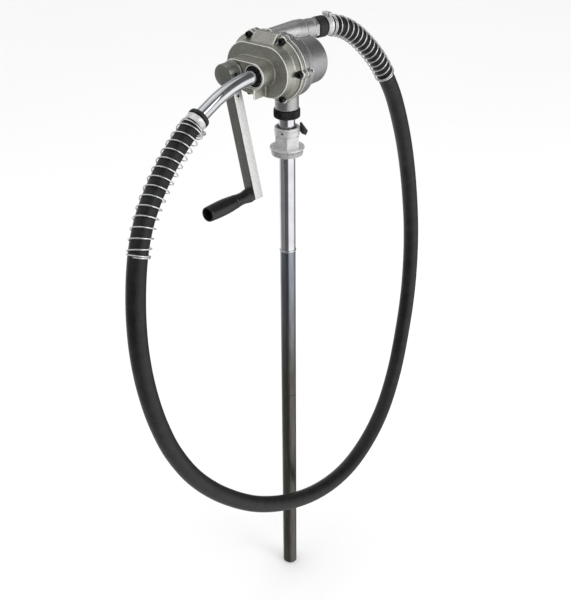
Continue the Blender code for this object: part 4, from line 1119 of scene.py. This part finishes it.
def build_adapter():
    profile = [
        (18.2, 37.4), (19.9, 37.4), (20.6, 37.0), (20.9, 36.2), (20.9, 33.4), (20.3, 32.9), (20.3, 32.3),
        (20.9, 31.8), (20.9, 23.6), (20.0, 22.6), (19.0, 22.0), (19.0, 3.4), (28.2, 3.0), (28.8, 2.6),
        (29.0, 2.0), (29.0, 0.4), (28.6, 0.0), (24.5, 0.0), (24.5, -2.4),
    ]
    for k in range(4):
        base = -2.6 - 2.2 * k
        crest = 27.0 - 0.35 * k
        profile += [(crest - 1.5, base), (crest, base - 0.8), (crest, base - 1.2), (crest - 1.5, base - 2.0)]
    profile += [(22.0, -11.6), (21.4, -12.0), (14.0, -12.0), (14.0, 20.0), (16.8, 20.0), (16.8, 36.2)]
    body = turned("adapter", [(r * MM, h * MM) for r, h in profile], None, ROUND, ring=True)
    nut = flat("nut", [polygon(22.2 * MM, 6, math.radians(-50)), circle((0, 0), 18.0 * MM, 72)],
               19.6 * MM, Matrix.Translation(mm(0, 0, 12.7)))
    chamfer = turned("chamfer", [
        mm(17.0, 23.5), mm(20.4, 23.5), mm(22.6, 21.2), mm(22.6, 1.0),
        mm(17.0, 1.0),
    ], None, ROUND, ring=True)
    hole_at = Vector((math.cos(SET_SCREW_TURN), math.sin(SET_SCREW_TURN), 0.0))
    lever_at = Vector((math.cos(LEVER_TURN), math.sin(LEVER_TURN), 0.0))
    screw_lift, lever_lift = Vector(mm(0, 0, 30)), Vector((0, 0, LEVER_Z))
    holes = [rod("hole", 1.9 * MM, hole_at * 10 * MM + screw_lift, hole_at * 26 * MM + screw_lift),
             rod("hole", 2.9 * MM, lever_at * 10 * MM + lever_lift, lever_at * 26 * MM + lever_lift)]
    show(cut(join(body, keep_inside(nut, chamfer)), *holes), "bung_adapter", sharp=28.0)


def build_lever():
    axis = Vector((math.cos(LEVER_TURN), math.sin(LEVER_TURN), 0.0))
    outline = [(21.4, 10.5), (24.2, 11.5), (34.5, -3.5), (31.0, -10.5), (24.0, -7.0), (21.4, -4.0)]
    side = axis.cross(Vector((0, 0, 1)))
    turn = Matrix((axis, Vector((0, 0, 1)), side)).transposed().to_4x4()
    turn = Matrix.Translation((0, 0, LEVER_Z)) @ turn
    lever = rounded(flat("lever", [[(x * MM, y * MM) for x, y in outline]], 7.0 * MM, turn), 0.9 * MM, 4)
    lift = Vector((0, 0, LEVER_Z))
    bore = rod("bore", 2.9 * MM, axis * 20 * MM + lift, axis * 25.3 * MM + lift)
    show(cut(lever, bore), "clamp_lever")


# ---------------------------------------------------------------- studio

def build_floor():
    mesh = bpy.data.meshes.new("studio_floor")
    side = 30.0
    height = CAD_BOUNDS[0].z - 1 * MM
    corners = [(-side, -side, height), (side, -side, height), (side, side, height), (-side, side, height)]
    mesh.from_pydata(corners, [], [(0, 1, 2, 3)])
    mesh.materials.append(floor_material())
    floor = add_object("studio_floor", mesh)
    floor.visible_glossy = False


def azimuth_bands(tree, share, stops):
    """Grey levels round the horizon, from (azimuth in degrees, level) stops."""
    bands = add_node(tree, "ShaderNodeValToRGB", inputs={"Fac": share})
    elements = bands.color_ramp.elements
    while len(elements) < len(stops):
        elements.new(0.5)
    for element, (turn, _) in zip(elements, stops):
        element.position = (turn + 180) / 360
    for element, (_, level) in zip(elements, stops):
        element.color = (level, level, level, 1.0)
    return bands.outputs["Color"]


def build_world():
    """White studio; what metal mirrors of it is a bright side at the right and darker sides."""
    world = bpy.data.worlds.new("studio")
    bpy.context.scene.world = world
    world.use_nodes = True
    tree = world.node_tree
    tree.nodes.clear()
    place = add_node(tree, "ShaderNodeTexCoord")
    parts = add_node(tree, "ShaderNodeSeparateXYZ", inputs={"Vector": place.outputs["Generated"]})
    angle = maths(tree, "ARCTAN2", parts.outputs["Y"], parts.outputs["X"])
    share = ramp(tree, angle, -math.pi, math.pi)
    level_bands = azimuth_bands(tree, share, (
        (-180, 0.95), (-168, 0.85), (-158, 0.26), (-130, 0.25), (-100, 0.26), (-75, 0.12), (-42, 0.14),
        (-32, 1.2), (40, 1.2), (56, 0.95), (72, 0.22), (118, 0.18), (138, 0.9), (180, 0.95)))
    upper_bands = azimuth_bands(tree, share, (
        (-180, 0.5), (-150, 0.7), (-120, 0.7), (-90, 0.4), (-40, 0.25), (0, 0.22), (40, 0.12), (85, 0.1),
        (112, 0.2), (140, 0.4), (180, 0.5)))
    height = parts.outputs["Z"]
    sky = mixed(tree, ramp(tree, height, 0.02, 0.34), level_bands, upper_bands)
    sky = mixed(tree, ramp(tree, height, -0.85, -0.6, 0.75, 0.0), sky, (0.62, 0.62, 0.6))
    rays = add_node(tree, "ShaderNodeLightPath")
    seen = maths(tree, "SUBTRACT", 1.0, rays.outputs["Is Glossy Ray"])
    colour = mixed(tree, seen, sky, (1.0, 1.0, 1.0))
    background = add_node(tree, "ShaderNodeBackground", inputs={"Color": colour, "Strength": 1.0})
    out = add_node(tree, "ShaderNodeOutputWorld")
    tree.links.new(background.outputs["Background"], out.inputs["Surface"])


def soft_light(name, place, aim, size, power):
    data = bpy.data.lights.new(name, "AREA")
    data.shape = "RECTANGLE"
    data.size, data.size_y = size
    data.energy = power
    light = bpy.data.objects.new(name, data)
    bpy.context.scene.collection.objects.link(light)
    back = (Vector(place) - Vector(aim)).normalized()
    light.matrix_world = Matrix.Translation(place) @ back.to_track_quat("Z", "Y").to_matrix().to_4x4()
    light.visible_camera = False


def build_studio():
    build_floor()
    build_world()
    soft_light("key", (2.6, 0.2, 1.2), (0, 0, 0), (1.4, 2.2), 20.0)
    soft_light("top", (-0.4, 0.4, 3.0), (0, 0, 0), (2.4, 2.4), 10.0)
    bpy.context.scene.view_settings.view_transform = "Standard"


# ---------------------------------------------------------------- all of it

# The third colour of each cast finish lightens proud edges: partly rubbed wear, partly a painted highlight.
COVER_CAST = cast_material("cast_cover", (0.29, 0.29, 0.26), (0.6, 0.6, 0.54), (0.84, 0.84, 0.78), 1.0)
BODY_CAST = cast_material("cast_body", (0.34, 0.335, 0.34), (0.58, 0.575, 0.58), (0.8, 0.8, 0.78), 1.0)
ARM_CAST = cast_material("cast_arm", (0.2, 0.21, 0.19), (0.4, 0.41, 0.375), (0.78, 0.78, 0.73), 1.0)
WIRE = wire_material("spring_wire")
DARK_TUBE = tube_material("dark_pipe")
GREY_ZINC = zinc_material("grey_zinc_plate", (0.4, 0.4, 0.4), (0.52, 0.52, 0.51), 0.9)
LOOKS = {
    "cast_aluminium": COVER_CAST,
    "arm_aluminium": milled_material("milled_arm", (0.58, 0.58, 0.57), (0.78, 0.78, 0.77)),
    "bright_zinc": zinc_material("bright_zinc_plate", (0.56, 0.56, 0.58), (0.71, 0.7, 0.69), 0.4),
    "chrome": chrome_material("chrome_plate"),
    "steel": machined_material("machined_steel", (0.38, 0.38, 0.39), (0.55, 0.55, 0.56)),
    "bronze": machined_material("bearing_bronze", (0.42, 0.27, 0.11), (0.58, 0.4, 0.18)),
    "black_steel": black_material("black_oxide", (0.009, 0.009, 0.01), (0.022, 0.022, 0.024), 0.28, 0.45,
                                  900.0, 0.25, 0.5),
    "black_plastic": black_material("moulded_plastic", (0.005, 0.005, 0.0055), (0.011, 0.011, 0.012),
                                    0.22, 0.36, 1400.0, 0.12),
    "rubber": black_material("soft_rubber", (0.007, 0.007, 0.008), (0.018, 0.018, 0.02),
                             0.4, 0.6, 600.0, 0.4),
    "hose_rubber": hose_material("hose_cover"),
    "gasket": paper_material("fibre_gasket"),
}

build_camera()
finish_sealed_parts()
hose, hose_points = build_hose()
on_hose = build_hose_fittings(hose_points)
build_body()
build_cover()
build_cover_fittings()
build_union()
build_outlet_fitting()
build_crank()
build_grip()
build_spout()
build_tube()
build_adapter()
build_lever()
build_studio()
